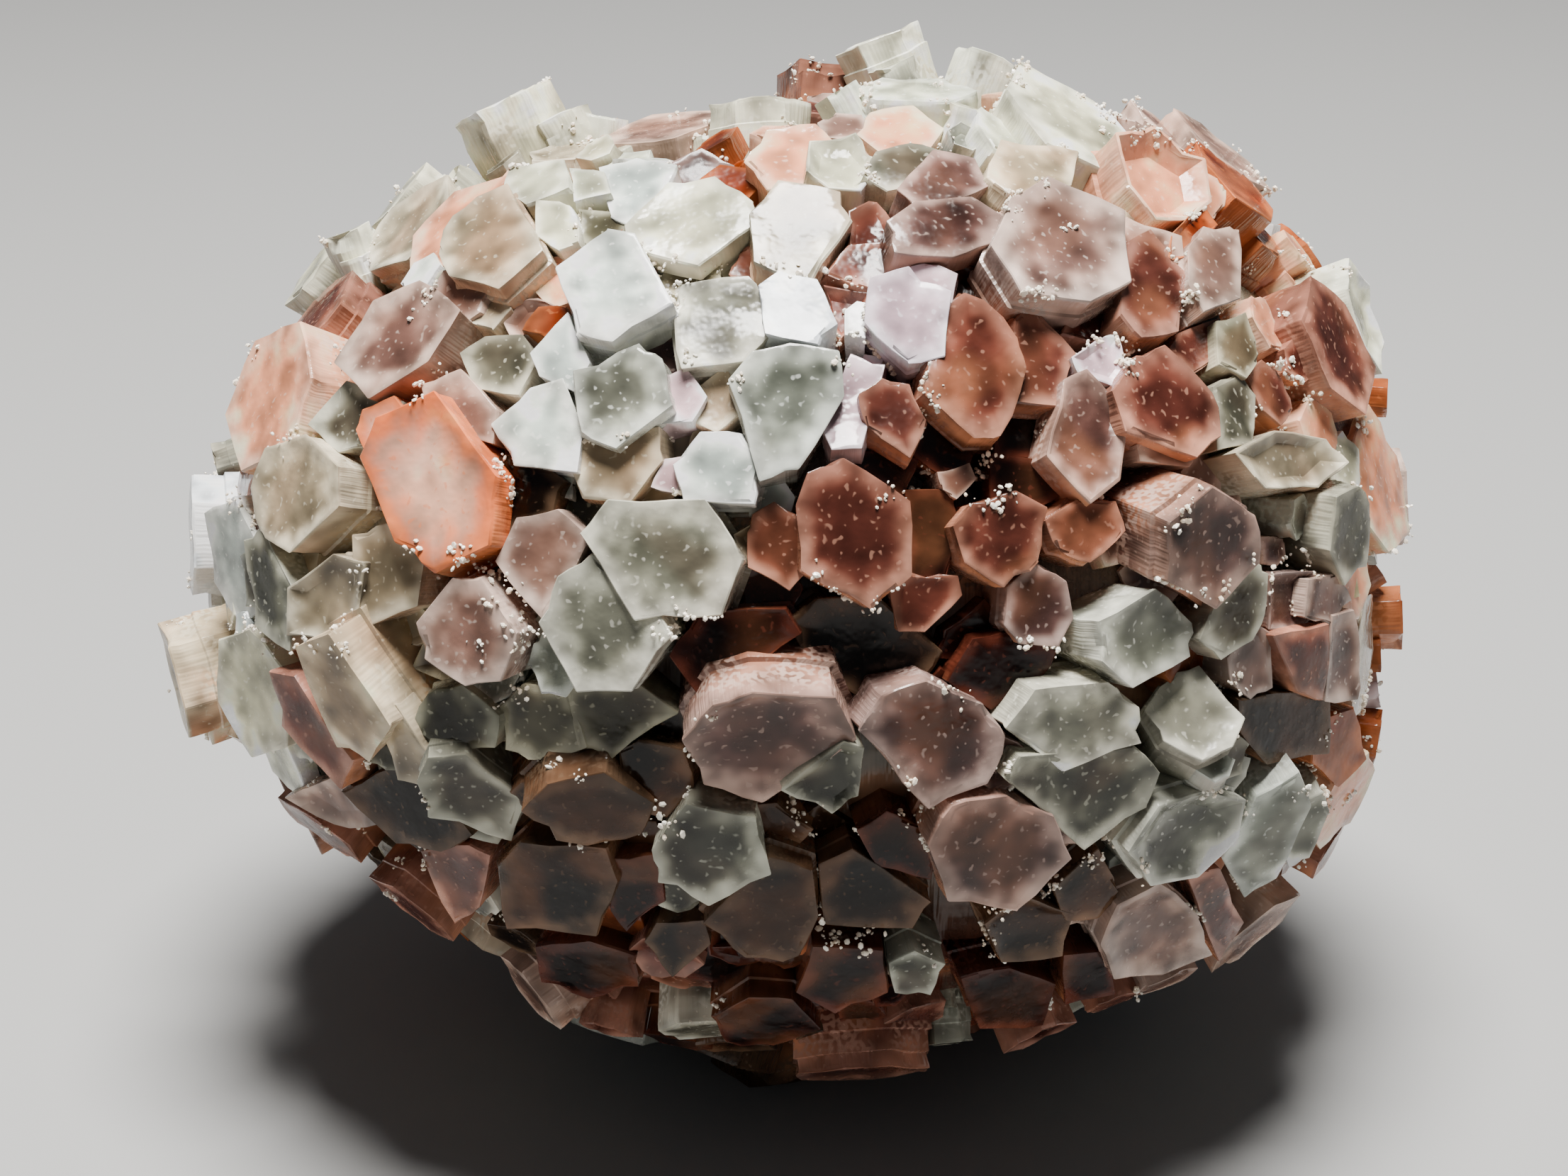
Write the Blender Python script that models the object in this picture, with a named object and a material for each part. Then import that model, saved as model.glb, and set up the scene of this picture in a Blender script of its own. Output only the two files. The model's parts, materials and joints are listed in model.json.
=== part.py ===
# Aragonite cluster: a rounded mass of stubby six-sided prisms, all grown outwards from one middle.
import math
import random

import bmesh
import bpy
from mathutils import Vector

MM = 0.001

# Driving dimensions, in millimetres unless a name says otherwise
FRONT_VIEW_UP_DEG = 22.0
FRONT_VIEW_DISTANCE = 181.0
MIDDLE_ACROSS = -0.8
MIDDLE_BACK = 1.155
MIDDLE_HEIGHT = 28.7
DEPTH_RADIUS = 29.0
ROUNDNESS = 2.3
MASS_SHARE = 0.86
LIFT_SHARE = 0.7
CROWDING = 1.06
BODY_LENGTH = 8.5
BODY_TAPER = 0.86
MOST_TILT_DEG = 60.0
STEP_DEG = 15.0

# The cluster's radius in the front view, every STEP_DEG anticlockwise from the right
OUTLINE_RADII = (
    34.0, 34.5, 33.5, 32.0, 29.5, 27.5, 26.0, 24.5, 27.5, 28.5, 29.5, 30.5,
    31.5, 32.5, 29.5, 27.5, 27.0, 27.5, 28.5, 28.0, 29.5, 31.5, 33.0, 34.0,
)

# The sides that the front view doesn't show carry wider crystals of these sizes
HIDDEN_COUNT = 104
HIDDEN_WIDTH = (6.6, 9.2)
HIDDEN_LIFT = (-1.4, 0.9)
GAP_COUNT = 8
GAP_WIDTH = (3.2, 4.4)
GAP_LIFT = (-2.4, -1.4)

# Crystals that stand straight down on the ground: place across, place back, width, turn in degrees
STANDING = (
    (-0.6, -6.4, 7.0, 12.0),
    (7.6, -1.2, 6.4, 40.0),
    (-8.2, 0.6, 6.0, 5.0),
    (0.4, 1.6, 6.6, 25.0),
    (5.6, 7.4, 6.2, 18.0),
    (-4.6, 8.4, 6.0, 50.0),
)

MIDDLE = Vector((MIDDLE_ACROSS, MIDDLE_BACK, MIDDLE_HEIGHT))
VIEW_UP = math.radians(FRONT_VIEW_UP_DEG)
ACROSS = Vector((1.0, 0.0, 0.0))
UPWARD = Vector((0.0, math.sin(VIEW_UP), math.cos(VIEW_UP)))
TOWARD = Vector((0.0, -math.cos(VIEW_UP), math.sin(VIEW_UP)))
EYE = MIDDLE + TOWARD * FRONT_VIEW_DISTANCE


def outline_radius(angle):
    """The front outline's radius at an angle, blended between the two nearest given radii."""
    place = math.degrees(angle) / STEP_DEG % len(OUTLINE_RADII)
    first = int(place) % len(OUTLINE_RADII)
    second = (first + 1) % len(OUTLINE_RADII)
    share = place - int(place)
    return OUTLINE_RADII[first] * (1.0 - share) + OUTLINE_RADII[second] * share


def reach(direction):
    """How far the cluster's rounded surface lies from the middle in a direction."""
    across = direction.dot(ACROSS)
    upward = direction.dot(UPWARD)
    toward = direction.dot(TOWARD)
    flat = math.hypot(across, upward)
    radius = outline_radius(math.atan2(upward, across))
    total = (flat / radius) ** ROUNDNESS + (abs(toward) / DEPTH_RADIUS) ** ROUNDNESS
    return total ** (-1.0 / ROUNDNESS)


def surface_nearness(across, upward):
    """How far in front of the middle the surface lies at a place in the front view."""
    radius = outline_radius(math.atan2(upward, across))
    near = 0.0
    for _ in range(14):
        shrink = (FRONT_VIEW_DISTANCE - near) / FRONT_VIEW_DISTANCE
        share = min(0.985, math.hypot(across, upward) * shrink / radius)
        near = DEPTH_RADIUS * (1.0 - share ** ROUNDNESS) ** (1.0 / ROUNDNESS)
    return near


def from_view(across, upward, near):
    """The point that lies at a place in the front view, so far in front of the middle."""
    shrink = (FRONT_VIEW_DISTANCE - near) / FRONT_VIEW_DISTANCE
    return MIDDLE + (ACROSS * across + UPWARD * upward) * shrink + TOWARD * near


def growth_axis(point):
    """The way a crystal grows at a point: away from a short bar along the cluster's middle."""
    root = MIDDLE + ACROSS * ((point - MIDDLE).dot(ACROSS) * 0.2)
    return (point - root).normalized()


def aimed_axis(point, aim_deg, tilt_deg):
    """An axis leaning tilt_deg off the line of sight, towards aim_deg clockwise from up."""
    sight = (EYE - point).normalized()
    up = (UPWARD - sight * UPWARD.dot(sight)).normalized()
    right = up.cross(sight)
    aim = math.radians(aim_deg)
    tilt = math.radians(tilt_deg)
    sideways = right * math.sin(aim) + up * math.cos(aim)
    return sight * math.cos(tilt) + sideways * math.sin(tilt)


def eased_axis(point):
    """The growth axis, turned to the front view where the end face would be too thin a sliver."""
    axis = growth_axis(point)
    sight = (EYE - point).normalized()
    tilt = math.degrees(sight.angle(axis))
    if tilt <= MOST_TILT_DEG:
        return axis
    sideways = (axis - sight * axis.dot(sight)).normalized()
    most = math.radians(MOST_TILT_DEG)
    return sight * math.cos(most) + sideways * math.sin(most)


def face(corners, lift=0.0, aim=None, tilt=0.0, body=BODY_LENGTH, pit=0.0):
    """A crystal whose end face shows in the front view, given by its corners there."""
    across = sum(c[0] for c in corners) / len(corners)
    upward = sum(c[1] for c in corners) / len(corners)
    near = surface_nearness(across, upward) + lift * LIFT_SHARE
    middle = from_view(across, upward, near)
    axis = eased_axis(middle) if aim is None else aimed_axis(middle, aim, tilt)
    outline = []
    for corner in corners:
        wider = (across + (corner[0] - across) * CROWDING, upward + (corner[1] - upward) * CROWDING)
        seen = from_view(wider[0], wider[1], 0.0)
        ray = seen - EYE
        outline.append(EYE + ray * ((middle - EYE).dot(axis) / ray.dot(axis)))
    return {"outline": outline, "axis": axis, "body": body, "pit": pit}


def hexagon(middle, axis, along, width, thick, wobble=None):
    """The six corners of an end face that lies square to its axis."""
    along = (along - axis * along.dot(axis)).normalized()
    beside = axis.cross(along)
    outline = []
    for number in range(6):
        angle = math.radians(60.0 * number)
        size = 1.0 if wobble is None else wobble.uniform(0.86, 1.12)
        step = along * (math.cos(angle) * width / 2) + beside * (math.sin(angle) * width * thick / 2)
        outline.append(middle + step * size)
    return outline


def side(first, last, toward=0.0, near=None, thick=0.9, body=BODY_LENGTH):
    """A crystal seen from its side, given by the two ends of its end face's edge."""
    across = (first[0] + last[0]) / 2
    upward = (first[1] + last[1]) / 2
    if near is None:
        near = 0.85 * surface_nearness(across, upward)
    middle = from_view(across, upward, near)
    edge = (last[0] - first[0], last[1] - first[1])
    aim = math.atan2(-edge[1], edge[0])
    if math.sin(aim) * across + math.cos(aim) * upward < 0.0:
        aim += math.pi
    axis = aimed_axis(middle, math.degrees(aim), 90.0 - toward)
    along = from_view(last[0], last[1], near) - from_view(first[0], first[1], near)
    outline = hexagon(middle, axis, along, along.length, thick)
    return {"outline": outline, "axis": axis, "body": body, "pit": 0.0}


CROWN = (
    side((3.1, 28.3), (7.8, 30.2), toward=2),
    side((10.0, 28.9), (14.4, 27.2), toward=-6),
    side((-4.0, 25.5), (1.8, 25.6), toward=-10),
    side((-18.4, 24.3), (-12.9, 27.0), toward=-4),
    side((-12.4, 25.1), (-8.5, 24.6), toward=-6),
    side((-9.4, 22.4), (-5.4, 22.3), toward=6),
    side((-23.0, 18.6), (-20.0, 22.4), toward=4, body=8.0),
    side((-5.0, 22.8), (-2.4, 24.3), toward=14),
    side((-1.8, 23.9), (1.3, 24.0), toward=16),
    side((1.9, 25.5), (4.4, 26.9), toward=0),
    side((4.0, 26.4), (11.2, 26.3), toward=14),
    side((9.6, 25.6), (11.6, 25.0), toward=4, near=16.0),
    side((11.4, 26.1), (15.5, 26.3), toward=2),
    face([(12.6, 23.4), (16.8, 22.9), (16.2, 21.0), (13.2, 20.4), (11.8, 21.6)], lift=0.2),
    side((15.7, 25.4), (17.0, 25.2), toward=0, near=9.0),
    side((17.0, 25.2), (20.9, 24.2), toward=-4),
    side((22.1, 25.5), (27.7, 20.6), toward=7, near=5.0, body=10.0),
    face([(19.2, 23.7), (21.2, 24.0), (23.8, 22.4), (24.2, 20.2), (23.0, 19.2), (21.2, 19.2),
         (19.8, 21.0)], lift=1.6, aim=48, tilt=52, pit=0.9),
    face([(-10.0, 21.8), (-8.0, 22.4), (-6.0, 22.0), (-6.4, 20.9), (-8.4, 19.0), (-9.4, 19.4)]),
    face([(-15.2, 22.0), (-12.4, 22.3), (-12.0, 20.9), (-14.2, 20.0), (-15.4, 20.9)], lift=0.4),
    face([(-13.6, 20.0), (-11.8, 19.8), (-11.3, 17.8), (-12.4, 17.4), (-13.7, 18.2)], lift=-0.4),
    face([(-11.2, 19.4), (-8.6, 19.4), (-8.6, 18.2), (-10.4, 17.4), (-11.4, 18.2)], lift=-2.0),
    face([(-11.8, 21.8), (-10.0, 21.6), (-9.6, 20.6), (-11.6, 20.0)], lift=-0.2),
    face([(5.6, 22.8), (7.4, 23.2), (9.2, 22.9), (8.4, 21.2), (6.2, 20.8), (4.8, 21.6)], lift=-1.0),
    face([(1.8, 23.4), (4.2, 23.8), (5.4, 22.4), (4.6, 20.8), (2.8, 20.8), (1.6, 21.8)], lift=-0.6),
)

UPPER_LEFT = (
    face([(-17.8, 19.8), (-15.5, 20.8), (-13.7, 17.4), (-16.0, 15.4), (-18.5, 16.0),
         (-19.3, 17.7)], lift=1.4),
    face([(-8.5, 18.8), (-6.2, 20.9), (-3.8, 21.2), (-1.8, 20.0), (-1.6, 18.9), (-4.6, 16.7),
         (-8.0, 17.5)], lift=1.6),
    face([(-1.5, 19.4), (0.0, 21.1), (3.2, 20.4), (3.8, 19.0), (1.6, 15.7), (-1.3, 16.8)], lift=0.9),
    face([(-12.3, 16.2), (-9.7, 18.2), (-8.3, 17.9), (-6.4, 14.4), (-9.5, 12.5), (-11.4, 12.9)],
         lift=1.7),
    face([(-5.8, 14.0), (-5.4, 15.3), (-2.0, 15.6), (-0.8, 14.4), (-0.6, 12.8), (-2.2, 11.2),
         (-5.4, 10.8)], lift=0.9),
    face([(-1.1, 15.2), (0.0, 16.0), (2.0, 15.5), (3.1, 13.2), (2.0, 12.2), (-0.7, 12.8)], lift=1.1),
    face([(3.8, 13.8), (4.4, 14.3), (4.8, 14.2), (4.8, 12.4), (3.8, 12.6)], lift=-0.4),
    side((-27.9, 14.2), (-25.0, 18.2), toward=6),
    side((-25.8, 17.8), (-23.2, 18.9), toward=2, near=9.0),
    face([(-22.8, 14.2), (-20.4, 15.4), (-18.4, 13.8), (-20.0, 11.2), (-23.0, 9.3), (-24.8, 11.2)],
         lift=0.9),
    side((-29.9, 7.8), (-27.9, 13.0), toward=14),
    side((-30.0, 9.2), (-29.8, 10.6), toward=0, near=2.0),
    face([(-26.4, 7.4), (-24.4, 9.7), (-21.6, 8.6), (-22.0, 6.6), (-24.8, 6.0)], lift=-0.9),
    face([(-17.8, 11.4), (-16.6, 12.4), (-14.6, 12.4), (-13.8, 11.0), (-14.8, 9.2), (-17.1, 9.6)],
         lift=-0.8),
    face([(-20.0, 9.6), (-18.0, 10.3), (-16.1, 8.2), (-16.4, 6.6), (-18.0, 6.9), (-19.6, 8.0)],
         lift=0.2),
    face([(-13.9, 11.4), (-12.0, 13.5), (-10.9, 11.0), (-11.4, 9.4), (-13.4, 10.2)], lift=0.4),
    face([(-16.0, 7.4), (-14.0, 9.2), (-12.4, 9.8), (-11.4, 7.4), (-11.7, 5.0), (-14.8, 5.4)],
         lift=0.5),
    face([(-11.4, 10.4), (-8.0, 11.8), (-6.8, 11.0), (-6.4, 8.6), (-9.2, 6.4), (-11.2, 7.2)],
         lift=1.3),
    face([(-11.8, 5.8), (-10.4, 7.0), (-7.0, 7.2), (-6.8, 5.4), (-8.4, 3.4), (-11.0, 3.4)], lift=0.1),
    face([(-6.6, 9.8), (-5.4, 10.4), (-4.3, 9.0), (-5.0, 7.8), (-6.8, 7.4)], lift=-0.2),
    face([(-2.6, 9.8), (-1.4, 11.3), (0.6, 11.8), (3.0, 11.4), (3.4, 9.0), (1.0, 5.3),
         (-1.0, 4.8)], lift=1.2),
    face([(-5.8, 5.2), (-4.4, 6.9), (-2.4, 7.0), (-1.2, 5.0), (-1.6, 3.2), (-5.2, 3.2)], lift=1.2),
    face([(-7.2, 4.0), (-6.4, 5.4), (-5.2, 5.6), (-5.4, 3.6)], lift=0.1),
    face([(2.6, 7.2), (3.2, 9.8), (4.0, 11.2), (5.8, 10.6), (4.6, 6.3), (3.0, 6.2)], lift=-0.1),
    face([(-14.4, 12.8), (-13.6, 14.0), (-12.2, 14.0), (-12.0, 13.0), (-13.2, 12.4)], lift=-0.6),
    face([(-4.6, 9.4), (-3.0, 10.6), (-2.2, 8.4), (-3.6, 7.2), (-4.8, 7.8)], lift=-0.7),
    face([(-6.4, 16.2), (-3.6, 16.4), (-3.0, 15.4), (-5.6, 14.8), (-7.0, 15.2)], lift=-1.6),
)

RED_ZONE = (
    face([(4.0, 19.4), (5.6, 20.2), (6.6, 18.0), (5.0, 17.2), (4.0, 17.6)], lift=-1.4),
    face([(2.6, 16.0), (4.0, 17.4), (6.6, 17.6), (7.6, 15.6), (5.4, 15.0)], lift=-1.0),
    face([(2.6, 15.2), (5.0, 14.8), (4.8, 13.4), (3.6, 12.4), (3.0, 13.2)], lift=-1.2),
    face([(6.8, 20.8), (8.8, 22.8), (10.8, 22.4), (11.6, 21.0), (9.8, 20.0), (8.0, 19.8)], lift=0.4),
    face([(6.3, 18.9), (7.8, 19.9), (10.7, 20.1), (12.2, 19.2), (11.8, 17.8), (9.8, 17.1),
         (6.7, 17.3)], lift=1.5),
    face([(12.4, 17.6), (13.4, 20.0), (15.2, 21.2), (19.2, 19.4), (19.6, 15.8), (17.4, 14.7),
         (13.8, 15.3)], lift=2.2),
    face([(19.8, 17.6), (21.0, 18.2), (23.0, 15.8), (22.4, 12.9), (20.6, 12.4), (19.4, 13.8)],
         lift=0.6),
    face([(23.2, 17.4), (24.0, 18.4), (26.0, 18.4), (25.8, 14.8), (24.0, 14.1), (23.2, 15.4)],
         lift=0.9),
    face([(22.2, 18.2), (23.8, 19.8), (24.6, 18.6), (23.6, 17.2), (22.0, 16.8)], lift=0.0),
    face([(5.3, 15.5), (7.2, 16.1), (9.5, 14.8), (9.0, 11.6), (7.2, 11.1), (4.9, 13.2)], lift=1.5),
    face([(9.4, 16.0), (10.4, 16.4), (12.8, 15.8), (13.0, 14.2), (12.2, 13.2), (9.8, 14.6)],
         lift=-1.4),
    face([(8.7, 12.2), (10.5, 14.9), (13.4, 12.4), (13.7, 10.6), (12.5, 7.1), (11.0, 7.1),
         (8.4, 9.3)], lift=1.2),
    face([(13.4, 13.4), (14.4, 13.8), (16.5, 11.4), (15.6, 8.8), (13.4, 9.0)], lift=0.0),
    face([(16.7, 11.2), (18.4, 12.5), (19.1, 12.4), (19.5, 10.4), (18.9, 9.7), (17.0, 10.4)],
         lift=0.1),
    face([(19.1, 9.4), (20.4, 11.0), (21.8, 11.5), (24.4, 9.2), (24.6, 7.0), (23.4, 5.9),
         (19.8, 7.2)], lift=1.0),
    face([(20.4, 6.3), (22.0, 7.0), (23.6, 5.8), (23.0, 5.2), (20.6, 5.5)], lift=-0.2),
    face([(16.2, 9.6), (17.4, 10.2), (19.6, 7.8), (19.0, 4.6), (17.6, 3.3), (15.3, 5.8)], lift=0.9),
    face([(4.7, 9.0), (5.8, 9.9), (7.2, 9.6), (8.3, 7.8), (7.2, 5.8), (5.0, 7.2)], lift=0.9),
    face([(8.4, 9.0), (10.8, 7.2), (10.6, 5.0), (9.0, 4.8), (7.6, 5.8)], lift=-1.4),
    face([(9.0, 4.8), (10.6, 5.2), (11.0, 4.4), (10.0, 3.4), (9.2, 3.8)], lift=-0.6),
    face([(12.4, 8.4), (15.4, 8.6), (15.2, 5.8), (12.2, 5.6)], lift=-2.2),
    face([(12.0, 5.6), (15.2, 5.4), (16.2, 3.8), (14.6, 3.0), (12.2, 3.2)], lift=-1.2),
    face([(1.2, 2.8), (1.8, 4.4), (3.6, 5.2), (7.2, 3.0), (7.1, -0.8), (5.0, -2.6), (1.4, -0.6)],
         lift=2.4),
    face([(4.0, 5.9), (5.8, 6.2), (7.6, 5.4), (6.8, 3.6), (4.8, 4.0)], lift=-1.0),
    face([(7.2, 3.6), (9.8, 3.6), (10.2, 1.6), (9.2, -1.2), (7.4, -1.2)], lift=-0.8),
    face([(6.4, -1.8), (7.4, -1.0), (9.8, -1.2), (10.0, -2.2), (8.2, -4.1), (6.8, -4.0)], lift=-0.3),
    face([(10.0, 1.6), (11.0, 2.8), (13.2, 3.4), (14.8, 2.6), (14.6, -0.2), (12.6, -1.4),
         (10.6, -0.2)], lift=1.0),
    face([(15.2, 2.0), (16.8, 3.2), (18.8, 3.0), (19.4, 1.4), (17.6, -0.2), (15.8, 0.4)], lift=0.5),
    face([(13.0, -1.8), (14.4, -0.6), (16.0, -1.6), (16.4, -3.4), (15.6, -4.8), (13.6, -4.8),
         (12.8, -3.8)], lift=0.3),
    face([(0.8, -3.8), (2.4, -2.6), (5.6, -2.6), (8.8, -5.4), (8.0, -7.6), (5.6, -8.2),
         (2.0, -6.2)], lift=-1.0),
    face([(11.0, -4.8), (13.2, -4.4), (15.3, -5.4), (14.6, -7.6), (12.0, -8.4), (9.8, -7.0)],
         lift=-0.5),
    face([(-4.6, -3.4), (0.0, -3.2), (0.8, -4.4), (-2.0, -6.6), (-4.4, -7.7), (-5.8, -5.6)],
         lift=0.3),
    face([(-2.4, -1.2), (0.0, -0.2), (1.2, -1.8), (0.6, -3.2), (-2.0, -3.0)], lift=-1.5),
    face([(-2.4, 1.2), (-1.2, 2.0), (-0.2, 1.6), (-0.2, 0.2), (-1.6, -0.6)], lift=-0.4),
    face([(9.4, -4.2), (11.4, -2.6), (12.4, -4.0), (10.8, -5.8), (9.0, -5.6)], lift=-1.8),
    face([(10.6, 13.2), (12.6, 13.4), (13.4, 12.0), (12.0, 11.0)], lift=-1.8),
    face([(16.6, 13.8), (19.0, 13.9), (19.6, 12.4), (17.4, 12.2), (16.0, 12.6)], lift=-1.6),
    face([(22.6, 12.6), (24.6, 13.4), (25.0, 11.4), (23.4, 10.4), (22.0, 11.6)], lift=-1.2),
)

RIGHT_SIDE = (
    side((28.4, 18.7), (30.2, 16.2), toward=6),
    side((26.2, 18.9), (28.2, 18.7), toward=0, near=5.0),
    side((32.2, 16.9), (34.0, 10.2), toward=13, near=9.0, body=12.0),
    side((31.2, 7.4), (27.7, 6.8), toward=4, near=15.0, thick=0.6, body=9.0),
    face([(26.0, 5.8), (28.0, 7.0), (30.8, 6.6), (31.8, 5.4), (30.4, 4.0), (27.6, 4.0)], lift=0.2),
    side((34.3, 10.0), (34.2, 7.8), toward=0, near=3.0),
    face([(24.6, 9.6), (26.0, 10.2), (26.8, 9.0), (26.6, 6.6), (24.8, 6.2)], lift=-0.6),
    face([(24.8, 13.2), (26.2, 13.6), (27.2, 11.4), (26.4, 10.2), (25.0, 11.0)], lift=-0.2),
    face([(31.5, 3.2), (32.8, 3.9), (33.5, 2.2), (33.0, -0.4), (32.0, -1.4), (31.2, 0.4)], lift=2.0,
         aim=98, tilt=62, body=9.0),
    side((35.1, 6.2), (35.2, 0.6), toward=-6, near=0.0),
    side((35.0, -1.5), (35.1, -5.3), toward=-4, near=2.0),
    side((33.2, 0.2), (34.3, -1.4), toward=0, near=3.0),
    face([(27.8, -1.2), (30.0, -1.0), (30.2, -3.0), (29.2, -4.2), (27.8, -4.0)], lift=-1.0),
    face([(28.2, -4.6), (30.8, -4.0), (31.0, -5.8), (30.8, -8.0), (29.4, -7.6)], lift=0.2),
    face([(31.2, -3.6), (32.4, -3.4), (32.8, -5.8), (32.6, -8.0), (31.0, -8.0)], lift=0.4),
    face([(30.0, -1.4), (31.6, -1.0), (32.2, -2.6), (31.2, -3.8), (29.8, -3.4)], lift=0.1),
    face([(22.4, 1.9), (24.5, 3.5), (26.8, 2.2), (26.9, -0.4), (24.6, -2.6), (22.2, -1.2)],
         lift=3.0, aim=112, tilt=48, body=10.0),
    face([(23.8, -4.6), (24.6, -2.6), (26.8, -0.6), (27.4, -1.2), (27.4, -3.2), (26.6, -4.6),
         (25.0, -5.6)], lift=0.3),
    face([(18.3, -3.8), (21.2, -2.1), (23.0, -3.8), (22.9, -5.6), (20.0, -7.2), (18.4, -5.8)],
         lift=1.2, aim=100, tilt=44),
    side((33.6, -6.4), (34.0, -8.6), toward=0, near=2.0),
    side((34.1, -8.7), (33.4, -12.2), toward=-2, near=2.0),
    face([(26.2, -8.2), (28.0, -7.8), (30.8, -8.0), (30.8, -11.0), (27.6, -11.5), (26.2, -9.8)],
         lift=-1.2),
    face([(25.4, -5.8), (26.8, -3.8), (27.8, -4.6), (27.6, -7.2), (26.6, -7.9), (25.6, -7.0)],
         lift=-0.4),
    side((32.6, -12.4), (32.1, -14.8), toward=0, near=4.0),
    side((32.0, -15.0), (30.0, -18.3), toward=6, near=6.0),
    face([(30.4, -9.4), (32.4, -8.8), (33.0, -11.4), (31.6, -12.8), (30.2, -11.6)], lift=0.2),
    side((29.4, -19.0), (24.4, -23.5), toward=10, near=8.0, body=9.0),
    face([(20.8, -8.6), (22.0, -7.0), (23.6, -6.4), (26.0, -9.0), (25.4, -10.6), (23.8, -11.4),
         (21.8, -10.2)], lift=0.9, aim=40, tilt=24),
    face([(23.6, -12.2), (25.6, -10.0), (26.4, -10.6), (26.0, -12.2), (24.0, -13.0)], lift=-0.6),
    face([(20.0, -16.6), (21.6, -14.2), (24.0, -13.4), (26.0, -14.0), (25.6, -15.8),
         (23.6, -17.9), (21.2, -18.3)], lift=1.1, pit=0.5),
    face([(25.2, -17.0), (27.0, -13.8), (29.2, -12.6), (29.8, -14.2), (28.0, -18.0),
         (26.4, -18.9)], lift=1.2, aim=150, tilt=50),
)

LEFT_SIDE = (
    side((-33.2, 4.7), (-33.2, -2.4), toward=2, near=4.0, body=9.0),
    side((-32.2, 6.4), (-31.6, 4.4), toward=0, near=3.0),
    side((-35.1, -3.6), (-33.3, -10.3), toward=3, near=8.0, body=11.0),
    side((-31.2, -10.1), (-28.8, -11.2), toward=2, near=9.0),
    face([(-29.6, 3.8), (-29.0, 5.8), (-26.8, 6.6), (-25.1, 5.0), (-25.2, 3.0), (-27.6, 0.6),
         (-29.4, 1.6)], lift=1.3),
    face([(-23.3, 5.4), (-22.6, 7.4), (-19.6, 8.8), (-16.4, 4.6), (-16.8, 1.0), (-19.6, -0.5),
         (-21.6, 1.2)], lift=2.2),
    face([(-24.0, 1.0), (-22.2, 1.6), (-20.4, -0.2), (-20.6, -2.6), (-23.6, -3.8)], lift=-0.4),
    face([(-27.6, -1.8), (-25.2, -0.2), (-23.6, -0.6), (-24.0, -3.4), (-26.0, -4.6),
         (-27.6, -4.2)], lift=-0.2),
    face([(-30.2, 0.6), (-29.2, 1.4), (-27.6, -1.8), (-27.8, -5.0), (-29.6, -3.8)], lift=0.0),
    face([(-16.6, 3.8), (-16.0, 5.6), (-14.0, 5.6), (-12.4, 4.2), (-13.0, 2.4), (-15.6, 1.4)],
         lift=-0.4),
    face([(-12.4, 4.0), (-10.8, 3.8), (-9.6, 2.6), (-10.6, 1.4), (-12.0, 1.8)], lift=-2.0),
    face([(-15.8, -0.2), (-14.8, 2.0), (-12.6, 2.4), (-11.0, 1.0), (-13.4, -3.4)], lift=0.6),
    face([(-10.8, 1.2), (-9.4, 2.9), (-4.4, 2.9), (-2.4, -0.2), (-3.6, -3.0), (-8.0, -3.3)],
         lift=2.1),
    face([(-13.2, -3.8), (-12.4, -1.4), (-10.6, -0.2), (-7.8, -2.2), (-6.4, -4.4),
         (-8.6, -7.2), (-11.4, -7.3)], lift=1.4),
    face([(-20.2, -3.8), (-18.4, -1.6), (-17.0, -1.4), (-15.0, -4.4), (-16.0, -6.8),
         (-17.8, -7.0), (-19.8, -5.6)], lift=1.3),
    face([(-27.0, -5.6), (-25.4, -4.8), (-22.2, -9.6), (-23.4, -11.2), (-25.0, -10.6)],
         lift=1.8, aim=232, tilt=56, body=10.0),
    face([(-28.6, -6.8), (-27.4, -7.0), (-24.4, -11.4), (-25.0, -12.8), (-28.0, -9.6)], lift=0.4),
    side((-28.4, -13.6), (-23.6, -17.4), toward=8, near=8.0),
    side((-23.2, -18.0), (-18.4, -21.8), toward=8, near=9.0),
    face([(-24.4, -13.4), (-21.6, -12.0), (-19.8, -12.8), (-17.8, -15.6), (-19.2, -16.6),
         (-21.6, -16.0)], lift=-0.1),
    face([(-20.0, -16.8), (-17.6, -16.4), (-16.4, -17.0), (-17.0, -19.8), (-18.4, -20.6)],
         lift=0.2),
    face([(-27.8, -13.6), (-24.8, -12.4), (-22.6, -15.2), (-25.2, -15.2)], lift=0.2),
    face([(-20.2, -12.8), (-19.6, -11.6), (-17.8, -11.4), (-14.6, -13.8), (-15.4, -15.9),
         (-19.6, -14.6)], lift=1.0, aim=188, tilt=42),
    face([(-23.6, -9.4), (-21.0, -8.6), (-19.8, -11.0), (-21.6, -12.0), (-23.4, -11.6)], lift=-1.0),
)

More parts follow.
